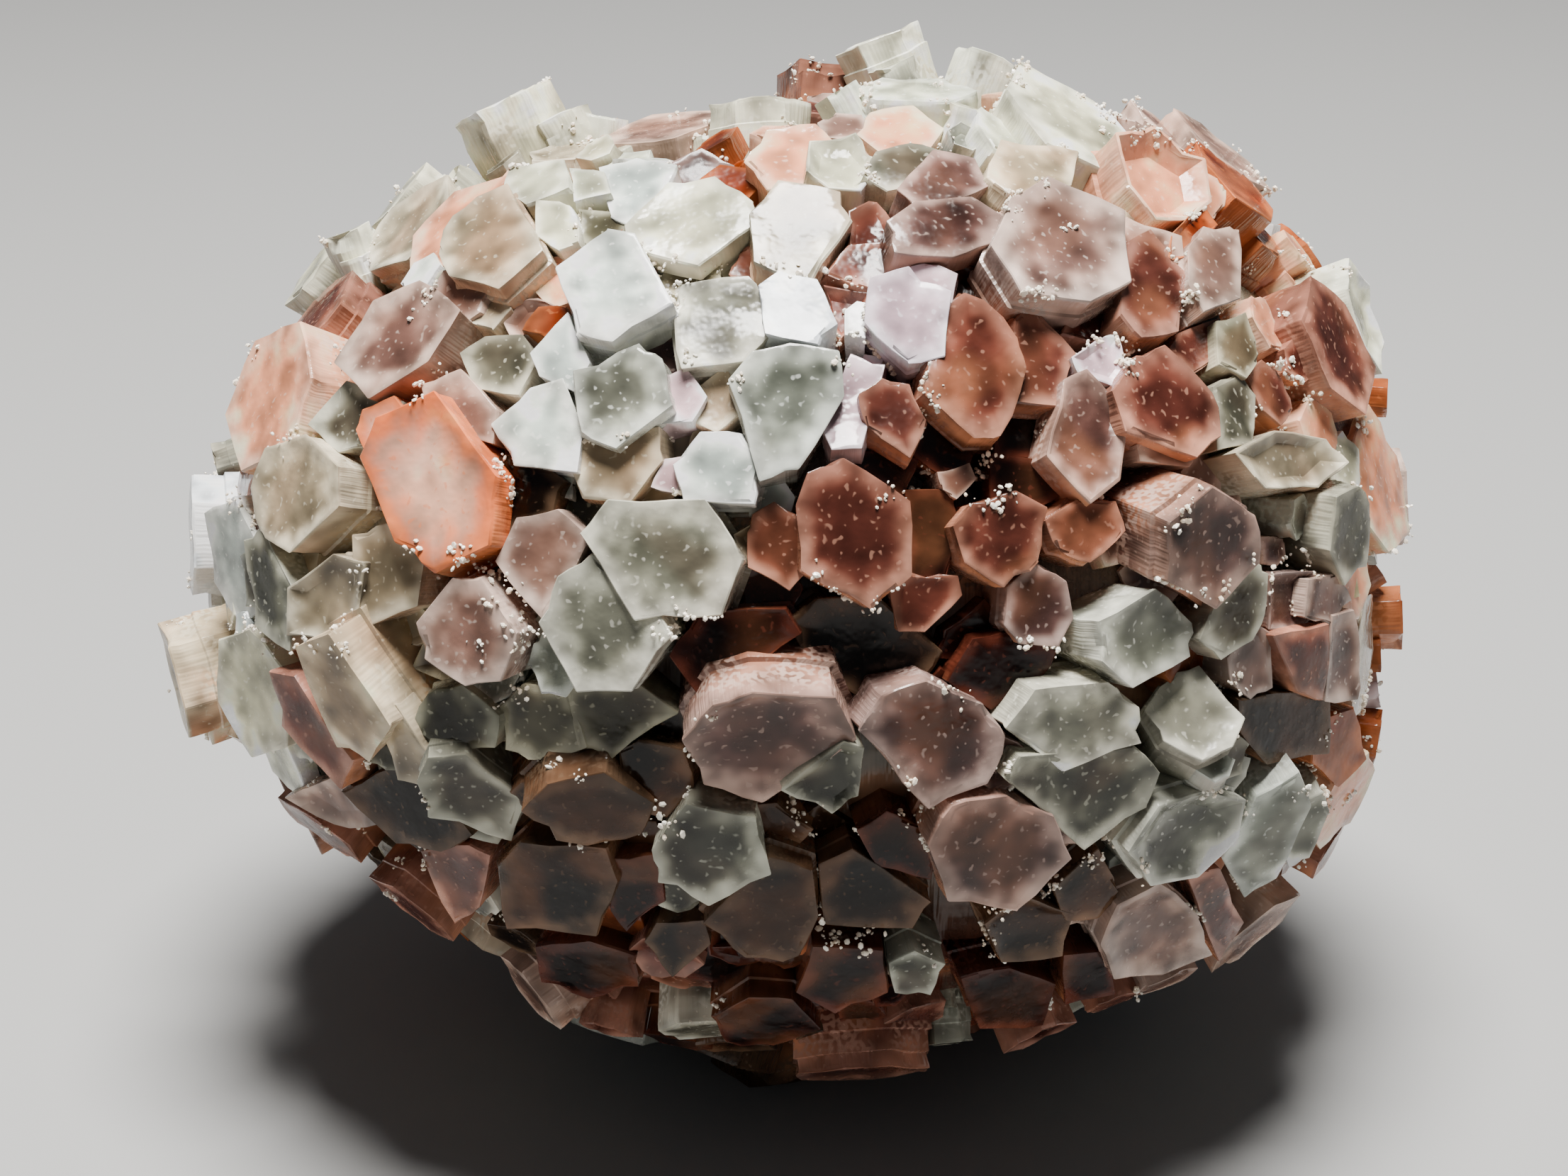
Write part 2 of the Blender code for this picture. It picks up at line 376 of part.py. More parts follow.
LOWER_FRONT = (
    face([(-11.8, -7.6), (-8.4, -7.0), (-6.2, -8.8), (-9.6, -11.2), (-11.2, -10.6)], lift=-0.5),
    face([(-15.6, -8.6), (-14.4, -7.4), (-12.0, -7.6), (-11.2, -10.6), (-13.6, -11.6),
         (-15.4, -10.8)], lift=-0.8),
    face([(-20.6, -9.8), (-20.0, -7.8), (-18.0, -7.4), (-16.0, -9.0), (-16.4, -10.6),
         (-18.4, -11.1)], lift=-0.4),
    face([(-9.2, -11.0), (-8.0, -10.6), (-5.6, -11.0), (-5.0, -13.0), (-6.4, -14.6),
         (-8.2, -14.0)], lift=-0.6),
    face([(-14.2, -14.4), (-13.0, -13.0), (-10.0, -12.4), (-7.4, -14.0), (-8.0, -15.6),
         (-10.8, -16.2), (-12.4, -15.9)], lift=1.0, aim=182, tilt=46),
    face([(-5.1, -10.4), (-3.6, -8.6), (-1.6, -8.0), (2.6, -8.2), (3.8, -10.4), (-1.0, -13.5),
         (-4.0, -12.7)], lift=2.3, aim=176, tilt=40),
    face([(0.2, -13.2), (3.6, -10.6), (4.6, -11.0), (4.2, -13.4), (3.0, -14.3)], lift=1.3,
         aim=165, tilt=40),
    face([(4.8, -9.8), (6.0, -8.0), (8.4, -7.4), (11.2, -8.6), (12.6, -10.2), (11.6, -12.6),
         (8.4, -13.8)], lift=2.1),
    face([(13.2, -9.6), (14.6, -7.7), (18.4, -7.2), (20.0, -8.6), (20.0, -10.4), (16.2, -11.8)],
         lift=1.3),
    face([(13.2, -12.6), (14.0, -11.4), (19.8, -10.9), (21.1, -12.2), (20.4, -14.0),
         (17.2, -16.2)], lift=1.0),
    face([(8.8, -16.2), (9.8, -14.2), (12.8, -13.8), (15.2, -14.8), (16.0, -17.0),
         (13.4, -19.7), (9.8, -19.2)], lift=1.8),
    face([(-6.9, -16.6), (-5.2, -14.3), (-1.6, -15.0), (-0.9, -17.8), (-4.0, -19.4),
         (-6.6, -18.2)], lift=1.1),
    face([(-4.0, -20.6), (-0.6, -17.2), (1.6, -18.0), (1.9, -20.2), (1.0, -22.6), (-1.8, -22.6)],
         lift=0.3),
    face([(-15.8, -17.8), (-14.4, -16.4), (-10.0, -16.6), (-9.4, -18.4), (-10.6, -21.2),
         (-15.2, -20.8)], lift=0.4),
    face([(-7.4, -21.8), (-6.8, -20.8), (-4.4, -20.6), (-4.2, -21.8), (-6.0, -23.5)], lift=0.2),
    face([(-13.6, -22.2), (-10.8, -21.8), (-8.4, -22.6), (-8.2, -24.2), (-10.8, -24.8),
         (-13.2, -24.0)], lift=0.6),
    side((-15.8, -22.6), (-12.4, -26.8), toward=8, near=10.0),
    side((-11.4, -26.4), (-7.8, -27.2), toward=8, near=10.0),
    side((-7.8, -27.0), (-3.8, -27.8), toward=8, near=9.0),
    face([(-3.6, -26.2), (-1.6, -25.0), (0.6, -25.2), (2.0, -26.6), (-0.4, -27.6),
         (-2.8, -27.4)], lift=0.8),
    side((8.0, -27.7), (11.0, -27.3), toward=4, near=9.0),
    face([(4.6, -15.6), (6.2, -14.6), (8.6, -15.4), (8.6, -18.2), (5.6, -17.4)], lift=-0.8),
    face([(2.4, -17.6), (4.2, -16.8), (8.2, -19.4), (7.2, -20.8), (2.8, -20.6)], lift=-0.6),
    face([(6.4, -23.0), (7.6, -22.4), (9.2, -23.0), (8.4, -24.6), (6.6, -24.6)], lift=0.2),
    face([(2.0, -22.2), (5.6, -22.4), (6.0, -24.6), (3.2, -25.6), (1.2, -24.6)], lift=-0.2),
    face([(11.8, -20.8), (13.6, -19.2), (16.4, -20.2), (15.8, -22.4), (12.6, -22.8)], lift=0.0),
    face([(15.6, -18.8), (18.0, -16.8), (19.2, -18.8), (18.0, -20.4), (16.4, -20.4)], lift=-0.7),
    face([(18.4, -21.8), (19.2, -19.8), (21.6, -18.6), (23.6, -20.6), (24.0, -22.4),
         (21.6, -23.4), (19.2, -23.6)], lift=0.5),
    face([(23.2, -18.2), (24.8, -17.8), (26.2, -20.6), (24.8, -22.8)], lift=0.0),
    side((12.6, -28.1), (16.8, -26.2), toward=8, near=9.0),
    side((17.0, -25.8), (20.4, -24.7), toward=8, near=9.0),
    side((20.0, -24.9), (23.6, -23.2), toward=8, near=9.0),
    face([(10.4, -24.0), (13.0, -23.4), (15.4, -24.2), (14.8, -26.4), (11.4, -26.6)], lift=0.2),
    face([(16.2, -22.6), (18.4, -22.4), (18.8, -24.6), (16.2, -25.2)], lift=-0.2),
    face([(6.8, -8.6), (9.2, -6.4), (10.6, -7.6), (9.0, -9.0)], lift=-1.2),
    face([(-3.4, -14.2), (-0.2, -14.0), (1.6, -15.4), (0.2, -16.8), (-1.4, -16.0)], lift=-1.4),
    face([(-9.2, -17.2), (-7.0, -17.0), (-6.6, -19.4), (-8.6, -21.0), (-9.8, -19.4)], lift=-0.8),
)

PLACED = CROWN + UPPER_LEFT + RED_ZONE + RIGHT_SIDE + LEFT_SIDE + LOWER_FRONT


def standing_crystal(across, back, width, turn_deg):
    """A crystal that ends on the ground, with its end face level."""
    turn = math.radians(turn_deg)
    along = Vector((math.cos(turn), math.sin(turn), 0.0))
    down = Vector((0.0, 0.0, -1.0))
    foot = Vector((MIDDLE.x + across, MIDDLE.y + back, 0.0))
    outline = hexagon(foot, down, along, width, 1.0)
    return {"outline": outline, "axis": down, "body": 11.0, "pit": 0.0}


def middle_of(crystal):
    return sum(crystal["outline"], Vector()) / len(crystal["outline"])


def width_of(crystal):
    middle = middle_of(crystal)
    return 2.0 * sum((corner - middle).length for corner in crystal["outline"]) / len(crystal["outline"])


def filling_crystals(others, count, widths, lifts, spacing, chance):
    """Crystals set at random on the surface wherever the others leave room for one."""
    taken = [(middle_of(crystal), width_of(crystal)) for crystal in others]
    added = []
    for _ in range(count * 120):
        if len(added) == count:
            break
        direction = Vector([chance.gauss(0.0, 1.0) for _ in range(3)]).normalized()
        width = chance.uniform(*widths)
        lift = chance.uniform(*lifts)
        turn = Vector([chance.gauss(0.0, 1.0) for _ in range(3)])
        lean = Vector([chance.gauss(0.0, 0.09) for _ in range(3)])
        place = MIDDLE + direction * reach(direction)
        if any((place - other).length < spacing * (width + wide) / 2 for other, wide in taken):
            continue
        axis = (growth_axis(place) + lean).normalized()
        middle = place + axis * lift
        outline = hexagon(middle, axis, turn, width, 1.0, chance)
        lowest = min(corner.z for corner in outline)
        if lowest < 0.5:
            shift = axis * ((0.5 - lowest) / max(0.3, -axis.z))
            outline = [corner - shift for corner in outline]
        taken.append((place, width))
        added.append({"outline": outline, "axis": axis, "body": BODY_LENGTH, "pit": 0.0})
    return added


def make_prism(name, crystal, collection):
    """One prism: its end outline extruded inwards, narrowing a little, with a pit where it has one."""
    middle = middle_of(crystal)
    corners = len(crystal["outline"])
    prism = bmesh.new()
    ring = bmesh.ops.create_circle(prism, cap_ends=True, segments=corners, radius=1.0)
    for vertex, corner in zip(ring["verts"], crystal["outline"]):
        vertex.co = corner
    end = prism.faces[:]
    root = bmesh.ops.extrude_face_region(prism, geom=end)
    moved = [item for item in root["geom"] if isinstance(item, bmesh.types.BMVert)]
    for vertex in moved:
        vertex.co = middle + (vertex.co - middle) * BODY_TAPER - crystal["axis"] * crystal["body"]
    bmesh.ops.recalc_face_normals(prism, faces=prism.faces[:])
    if crystal["pit"] > 0.0:
        prism.faces.ensure_lookup_table()
        end = max(prism.faces, key=lambda f: f.normal.dot(crystal["axis"]))
        bmesh.ops.inset_region(prism, faces=[end], thickness=0.9, depth=-crystal["pit"])
    bmesh.ops.scale(prism, vec=(MM, MM, MM), verts=prism.verts[:])
    mesh = bpy.data.meshes.new(name)
    prism.to_mesh(mesh)
    prism.free()
    crystal_object = bpy.data.objects.new(name, mesh)
    crystal_object.hide_render = True
    crystal_object.display_type = "WIRE"
    collection.objects.link(crystal_object)
    return crystal_object


def make_inner_mass(collection):
    """The rounded body under the crystals, which shows only deep between them."""
    mass = bmesh.new()
    bmesh.ops.create_icosphere(mass, subdivisions=2, radius=1.0)
    for vertex in mass.verts:
        direction = vertex.co.normalized()
        vertex.co = (MIDDLE + direction * reach(direction) * MASS_SHARE) * MM
    mesh = bpy.data.meshes.new("aragonite_cluster")
    mass.to_mesh(mesh)
    mass.free()
    inner_mass = bpy.data.objects.new("aragonite_cluster", mesh)
    collection.objects.link(inner_mass)
    return inner_mass


def join_crystals(inner_mass, prisms):
    """The mass and all its crystals as one solid, without the sealed hollows between them."""
    union = inner_mass.modifiers.new("Grown together", "BOOLEAN")
    union.operation = "UNION"
    union.solver = "EXACT"
    union.operand_type = "COLLECTION"
    union.collection = prisms
    bpy.context.view_layer.update()
    graph = bpy.context.evaluated_depsgraph_get()
    joined = bpy.data.meshes.new_from_object(inner_mass.evaluated_get(graph))
    inner_mass.modifiers.remove(union)
    shape = bmesh.new()
    shape.from_mesh(joined)
    bmesh.ops.remove_doubles(shape, verts=shape.verts[:], dist=0.000002)
    keep_outer_skin(shape)
    bmesh.ops.dissolve_limit(shape, angle_limit=0.01, verts=shape.verts[:], edges=shape.edges[:])
    bmesh.ops.triangulate(shape, faces=shape.faces[:])
    shape.to_mesh(joined)
    shape.free()
    old = inner_mass.data
    inner_mass.data = joined
    bpy.data.meshes.remove(old)


def keep_outer_skin(shape):
    """Removes each connected skin but the one with the most faces."""
    left = set(shape.faces)
    skins = []
    while left:
        start = left.pop()
        skin = {start}
        border = [start]
        while border:
            current = border.pop()
            for edge in current.edges:
                for neighbour in edge.link_faces:
                    if neighbour in left:
                        left.remove(neighbour)
                        skin.add(neighbour)
                        border.append(neighbour)
        skins.append(skin)
    skins.sort(key=len)
    inner = [one for skin in skins[:-1] for one in skin]
    if inner:
        bmesh.ops.delete(shape, geom=inner, context="FACES")


def aragonite_material():
    """Frosted, half clear pale mineral."""
    material = bpy.data.materials.new("aragonite")
    material.use_nodes = True
    shader = material.node_tree.nodes["Principled BSDF"]
    shader.inputs["Base Color"].default_value = (0.58, 0.48, 0.40, 1.0)
    shader.inputs["Roughness"].default_value = 0.35
    shader.inputs["Metallic"].default_value = 0.0
    shader.inputs["IOR"].default_value = 1.6
    return material


def main():
    for old in list(bpy.data.objects):
        bpy.data.objects.remove(old, do_unlink=True)
    parts = bpy.data.collections.new("aragonite_cluster")
    prisms = bpy.data.collections.new("prisms")
    bpy.context.scene.collection.children.link(parts)
    bpy.context.scene.collection.children.link(prisms)
    chance = random.Random(11)
    crystals = list(PLACED) + [standing_crystal(*row) for row in STANDING]
    crystals += filling_crystals(crystals, HIDDEN_COUNT, HIDDEN_WIDTH, HIDDEN_LIFT, 0.76, chance)
    crystals += filling_crystals(crystals, GAP_COUNT, GAP_WIDTH, GAP_LIFT, 0.74, chance)
    for number, crystal in enumerate(crystals):
        make_prism(f"prism_{number:03d}", crystal, prisms)
    cluster = make_inner_mass(parts)
    join_crystals(cluster, prisms)
    cluster.data.materials.clear()
    cluster.data.materials.append(aragonite_material())


main()
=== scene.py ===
# Aragonite cluster: the looks of its crystals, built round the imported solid.
import json
import math
import random

import bmesh
import bpy
import numpy as np
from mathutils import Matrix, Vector, noise

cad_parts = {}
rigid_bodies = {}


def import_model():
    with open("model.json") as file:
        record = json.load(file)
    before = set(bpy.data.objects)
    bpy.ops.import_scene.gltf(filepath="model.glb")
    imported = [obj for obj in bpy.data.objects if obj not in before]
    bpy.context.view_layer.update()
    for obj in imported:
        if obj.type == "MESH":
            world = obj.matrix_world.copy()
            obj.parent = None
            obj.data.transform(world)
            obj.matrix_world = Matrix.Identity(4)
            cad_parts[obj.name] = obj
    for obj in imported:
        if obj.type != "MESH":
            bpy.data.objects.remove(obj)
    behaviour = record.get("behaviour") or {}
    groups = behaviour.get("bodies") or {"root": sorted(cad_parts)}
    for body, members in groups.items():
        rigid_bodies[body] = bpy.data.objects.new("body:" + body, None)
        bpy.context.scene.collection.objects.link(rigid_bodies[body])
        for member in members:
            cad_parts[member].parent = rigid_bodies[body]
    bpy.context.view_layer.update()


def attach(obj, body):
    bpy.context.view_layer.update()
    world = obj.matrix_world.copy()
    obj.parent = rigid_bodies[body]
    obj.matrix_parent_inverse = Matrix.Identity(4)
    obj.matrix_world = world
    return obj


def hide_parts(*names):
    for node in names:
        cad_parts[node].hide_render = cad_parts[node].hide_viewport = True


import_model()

MM = 0.001
BODY = "root"
NODE = "aragonite_cluster"

# Driving dimensions of the cluster, in millimetres unless a name says otherwise
FRONT_VIEW_UP_DEG = 22.0
FRONT_VIEW_DISTANCE = 181.0
MIDDLE_ACROSS = -0.8
MIDDLE_BACK = 1.155
MIDDLE_HEIGHT = 28.7
DEPTH_RADIUS = 29.0
ROUNDNESS = 2.3
BODY_LENGTH = 8.5
BODY_TAPER = 0.86
MOST_TILT_DEG = 60.0
STEP_DEG = 15.0

# Shares: of the surface's reach, for the inner mass; of a row's lift; of an end face's width in its row
MASS_SHARE = 0.91
LIFT_SHARE = 0.7
CROWDING = 1.12

# The cluster's radius in the front view, every STEP_DEG anticlockwise from the right
OUTLINE_RADII = (
    34.0, 34.5, 33.5, 32.0, 29.5, 27.5, 26.0, 24.5, 27.5, 28.5, 29.5, 30.5,
    31.5, 32.5, 29.5, 27.5, 27.0, 27.5, 28.5, 28.0, 29.5, 31.5, 33.0, 34.0,
)

# The sides that the front view doesn't show carry wider crystals of these sizes
HIDDEN_COUNT = 104
HIDDEN_WIDTH = (6.6, 9.2)
HIDDEN_LIFT = (-1.4, 0.9)
HIDDEN_SPACING = 0.76
GAP_COUNT = 8
GAP_WIDTH = (3.2, 4.4)
GAP_LIFT = (-2.4, -1.4)
GAP_SPACING = 0.74

# Small crystals deep in the gaps, too fine for the solid
SMALL_COUNT = 230
SMALL_WIDTH = (2.2, 4.4)
SMALL_LIFT = (-2.3, -0.7)
SMALL_SPACING = 0.56

# More of them wherever the ground still shows after all the others
LAST_COUNT = 122
LAST_WIDTH = (2.6, 5.0)
LAST_LIFT = (-1.8, -0.4)
LAST_SPACING = 0.60

# How a crystal set at random may stand: tries for each, lean, least height above the ground
FILLING_TRIES = 120
LEAN = 0.09
LEAST_HEIGHT = 0.5

# Lower neighbours that share a crystal's direction: how many have one, how far aside, how low, how wide
TWIN_CHANCE = 0.75
TWIN_ASIDE = (0.42, 0.62)
TWIN_LOW = (0.9, 2.1)
TWIN_WIDTH = (0.45, 0.70)
TWIN_UNEVEN = (0.9, 1.1)
TWIN_BODY = 0.9
TWIN_LEAST_HEIGHT = 0.4

# Crystals that stand straight down on the ground: place across, place back, width, turn in degrees
STANDING = (
    (-0.6, -6.4, 7.0, 12.0),
    (7.6, -1.2, 6.4, 40.0),
    (-8.2, 0.6, 6.0, 5.0),
    (0.4, 1.6, 6.6, 25.0),
    (5.6, 7.4, 6.2, 18.0),
    (-4.6, 8.4, 6.0, 50.0),
)

# No spot of a crystal sends back more of the light than this
MOST_BRIGHT = 0.87

# Each tint: family, body colour, colour of the cloudy centre, colour of the rim (painted light scattered in
# from the lit sides, and also the colour of frost and crust), share of stain, cloudiness
GREEN = "green"
RED = "red"
# The edge map holds the rim's painted light, which is also the colour of frost and crust
COLOUR_MAPS = ("tint", "core", "edge")
TINTS = {
    "pale": (GREEN, (0.632, 0.632, 0.459), (0.353, 0.353, 0.239), (0.862, 0.857, 0.723), 0.10, 0.8),
    "frost": (GREEN, (0.725, 0.781, 0.72), (0.391, 0.465, 0.427), (0.919, 0.924, 0.882), 0.03, 0.9),
    "clear": (GREEN, (0.307, 0.315, 0.249), (0.083, 0.0863, 0.0647), (0.715, 0.715, 0.626), 0.06, 0.9),
    # grey: the clear crystal's colour darkened, painted shade for crystals that lie in shade
    "grey": (GREEN, (0.152, 0.149, 0.108), (0.0392, 0.0392, 0.028), (0.573, 0.563, 0.45), 0.10, 1.0),
    "cream": (GREEN, (0.43, 0.348, 0.225), (0.206, 0.159, 0.0978), (0.694, 0.621, 0.472), 0.30, 0.8),
    "peach": (RED, (0.837, 0.336, 0.182), (0.688, 0.246, 0.125), (0.919, 0.621, 0.45), 0.45, 0.7),
    "salmon": (RED, (0.60, 0.115, 0.034), (0.86, 0.56, 0.42), (0.72, 0.19, 0.062), 0.60, 1.0),
    "orange": (RED, (0.187, 0.0274, 0.00528), (0.0936, 0.0115, 0.00198), (0.431, 0.127, 0.039), 0.70, 0.7),
    "mauve": (RED, (0.122, 0.062, 0.052), (0.0353, 0.015, 0.0122), (0.504, 0.36, 0.304), 0.25, 1.0),
    "rose": (RED, (0.328, 0.205, 0.156), (0.129, 0.0631, 0.0484), (0.638, 0.488, 0.405), 0.25, 0.9),
    "brown": (RED, (0.144, 0.0421, 0.0272), (0.0546, 0.014, 0.0096), (0.465, 0.233, 0.162), 0.30, 0.9),
    # maroon: dark red-brown, partly its own colour, partly painted shade for crystals low down and deep in
    # the gaps
    "maroon": (RED, (0.0132, 0.00198, 0.001), (0.0036, 0.00052, 0.0003), (0.125, 0.0311, 0.0172), 0.25, 1.0),
    # lilac: a pink crystal's colour lightened by a painted reflection, for faces that mirror the light
    "lilac": (RED, (0.741, 0.54, 0.576), (0.456, 0.297, 0.324), (0.921, 0.817, 0.845), 0.05, 0.8),
    # olive and umber: dark colours, partly their own, partly painted shade for crystals deep in the gaps and
    # low down
    "olive": (GREEN, (0.116, 0.107, 0.0672), (0.0327, 0.0292, 0.0168), (0.512, 0.493, 0.36), 0.12, 1.0),
    "umber": (RED, (0.009, 0.00435, 0.00208), (0.003, 0.00128, 0.000624), (0.147, 0.0902, 0.054), 0.20, 1.0),
    # white: partly a painted reflection on faces that mirror the lamp, partly the colour of small white
    # crystals
    "white": (GREEN, (0.95, 0.96, 0.97), (0.90, 0.91, 0.92), (0.97, 0.97, 0.97), 0.0, 0.2),
}

# Where the ground is red: a patch in the front view, the underside, and patches round the back
RED_ACROSS = 10.0
RED_UPWARD = 4.0
RED_PATCH_RATE = 0.055
RED_PATCH_LEVEL = 0.06
# The low lists hold darker tints for crystals low on the cluster: partly their own colour, partly painted
# shade
RED_HIGH = ("mauve", "rose", "brown", "brown", "peach", "orange", "rose")
RED_LOW = ("brown", "maroon", "umber", "brown", "orange", "mauve")
GREY_HIGH = ("pale", "frost", "clear", "cream", "grey", "pale", "clear", "peach")
GREY_LOW = ("grey", "olive", "clear", "umber", "cream", "brown")
# The inner mass runs from the pale colour high up to the dark one low down: painted shade
MASS_PALE = (0.30, 0.275, 0.205)
MASS_DARK = (0.045, 0.034, 0.022)
MASS_RED = (0.075, 0.020, 0.012)

# The blank that each crystal is drawn from, in units of its radius
BLANK_LENGTH = 2.8
BLANK_CHAMFER = 0.018
BLANK_SIDE_CUTS = 2
BLANK_CUTS = (-0.12, -0.42, -0.445, -0.86, -0.89)
BLANK_RINGS = (0.95, 0.85, 0.6)

# What makes one crystal differ from the next, in millimetres
SHADE = (0.84, 1.14)
WARMTH = 0.05
STAIN_SPREAD = (0.5, 1.5)
CLOUD_SPREAD = (0.7, 1.15)
BEND = (0.8, 1.25)
LEDGE_CUTS = (0.43, 0.87)
LEDGE_MOST = 0.09
LEDGE_CHANCE = 0.5
DISH = (-0.03, 0.07)
DEEP_DISH = (0.15, 0.45)
DEEP_DISH_CHANCE = 0.22
DISH_RIM = 0.92
WOBBLE = 0.16
WOBBLE_RATE = 0.42
CHIP = 0.5
CHIP_RATE = 1.15
CHIP_LEVEL = 0.08
SMOOTH_DEG = 28.0
RELIEF_DEPTH = 0.3

# The small pale grains on rims and in gaps
GRAIN_COUNT = 9600
GRAIN_RADIUS = (0.05, 0.17)
GRAINS_ON_RIMS = 0.50
GRAINS_IN_GAPS = 0.44
GRAINS_TOGETHER = 8
GRAINS_APART = 0.30
GRAIN_RISE = 0.35
CRUST_RATE = 0.24
CRUST_GAIN = 3.0
CRUST_LEAST = 0.30

# Camera and lights
SENSOR = 36.0
PHOTO_WIDTH_PX = 2212
PX_PER_MM = 25.0
FRAME_RIGHT_PX = 6.0
FRAME_DOWN_PX = 44.5

MIDDLE = Vector((MIDDLE_ACROSS, MIDDLE_BACK, MIDDLE_HEIGHT))
VIEW_UP = math.radians(FRONT_VIEW_UP_DEG)
ACROSS = Vector((1.0, 0.0, 0.0))
UPWARD = Vector((0.0, math.sin(VIEW_UP), math.cos(VIEW_UP)))
TOWARD = Vector((0.0, -math.cos(VIEW_UP), math.sin(VIEW_UP)))
EYE = MIDDLE + TOWARD * FRONT_VIEW_DISTANCE


def outline_radius(angle):
    """The front outline's radius at an angle, blended between the two nearest given radii."""
    place = math.degrees(angle) / STEP_DEG % len(OUTLINE_RADII)
    first = int(place) % len(OUTLINE_RADII)
    second = (first + 1) % len(OUTLINE_RADII)
    share = place - int(place)
    return OUTLINE_RADII[first] * (1.0 - share) + OUTLINE_RADII[second] * share


def reach(direction):
    """How far the cluster's rounded surface lies from the middle in a direction."""
    across = direction.dot(ACROSS)
    upward = direction.dot(UPWARD)
    toward = direction.dot(TOWARD)
    flat = math.hypot(across, upward)
    radius = outline_radius(math.atan2(upward, across))
    total = (flat / radius) ** ROUNDNESS + (abs(toward) / DEPTH_RADIUS) ** ROUNDNESS
    return total ** (-1.0 / ROUNDNESS)


def surface_nearness(across, upward):
    """How far in front of the middle the surface lies at a place in the front view."""
    radius = outline_radius(math.atan2(upward, across))
    near = 0.0
    for _ in range(14):
        shrink = (FRONT_VIEW_DISTANCE - near) / FRONT_VIEW_DISTANCE
        share = min(0.985, math.hypot(across, upward) * shrink / radius)
        near = DEPTH_RADIUS * (1.0 - share ** ROUNDNESS) ** (1.0 / ROUNDNESS)
    return near


def from_view(across, upward, near):
    """The point that lies at a place in the front view, so far in front of the middle."""
    shrink = (FRONT_VIEW_DISTANCE - near) / FRONT_VIEW_DISTANCE
    return MIDDLE + (ACROSS * across + UPWARD * upward) * shrink + TOWARD * near


def growth_axis(point):
    """The way a crystal grows at a point: away from a short bar along the cluster's middle."""
    root = MIDDLE + ACROSS * ((point - MIDDLE).dot(ACROSS) * 0.2)
    return (point - root).normalized()


def aimed_axis(point, aim_deg, tilt_deg):
    """An axis leaning tilt_deg off the line of sight, towards aim_deg clockwise from up."""
    sight = (EYE - point).normalized()
    up = (UPWARD - sight * UPWARD.dot(sight)).normalized()
    right = up.cross(sight)
    aim = math.radians(aim_deg)
    tilt = math.radians(tilt_deg)
    sideways = right * math.sin(aim) + up * math.cos(aim)
    return sight * math.cos(tilt) + sideways * math.sin(tilt)


def eased_axis(point):
    """The growth axis, turned to the front view where the end face would be too thin a sliver."""
    axis = growth_axis(point)
    sight = (EYE - point).normalized()
    tilt = math.degrees(sight.angle(axis))
    if tilt <= MOST_TILT_DEG:
        return axis
    sideways = (axis - sight * axis.dot(sight)).normalized()
    most = math.radians(MOST_TILT_DEG)
    return sight * math.cos(most) + sideways * math.sin(most)


def face(tint, corners, lift=0.0, aim=None, tilt=0.0, body=BODY_LENGTH, pit=0.0):
    """A crystal whose end face shows in the front view, given by its corners there."""
    across = sum(c[0] for c in corners) / len(corners)
    upward = sum(c[1] for c in corners) / len(corners)
    near = surface_nearness(across, upward) + lift * LIFT_SHARE
    middle = from_view(across, upward, near)
    axis = eased_axis(middle) if aim is None else aimed_axis(middle, aim, tilt)
    outline = []
    for corner in corners:
        wider = (across + (corner[0] - across) * CROWDING, upward + (corner[1] - upward) * CROWDING)
        seen = from_view(wider[0], wider[1], 0.0)
        ray = seen - EYE
        outline.append(EYE + ray * ((middle - EYE).dot(axis) / ray.dot(axis)))
    return {"tint": tint, "outline": outline, "axis": axis, "body": body, "pit": pit}


def hexagon(middle, axis, along, width, thick, wobble=None):
    """The six corners of an end face that lies square to its axis."""
    along = (along - axis * along.dot(axis)).normalized()
    beside = axis.cross(along)
    outline = []
    for number in range(6):
        angle = math.radians(60.0 * number)
        size = 1.0 if wobble is None else wobble.uniform(0.86, 1.12)
        step = along * (math.cos(angle) * width / 2) + beside * (math.sin(angle) * width * thick / 2)
        outline.append(middle + step * size)
    return outline


def side(tint, first, last, toward=0.0, near=None, thick=0.9, body=BODY_LENGTH):
    """A crystal seen from its side, given by the two ends of its end face's edge."""
    across = (first[0] + last[0]) / 2
    upward = (first[1] + last[1]) / 2
    if near is None:
        near = 0.85 * surface_nearness(across, upward)
    middle = from_view(across, upward, near)
    edge = (last[0] - first[0], last[1] - first[1])
    aim = math.atan2(-edge[1], edge[0])
    if math.sin(aim) * across + math.cos(aim) * upward < 0.0:
        aim += math.pi
    axis = aimed_axis(middle, math.degrees(aim), 90.0 - toward)
    along = from_view(last[0], last[1], near) - from_view(first[0], first[1], near)
    outline = hexagon(middle, axis, along, along.length, thick)
    return {"tint": tint, "outline": outline, "axis": axis, "body": body, "pit": 0.0}


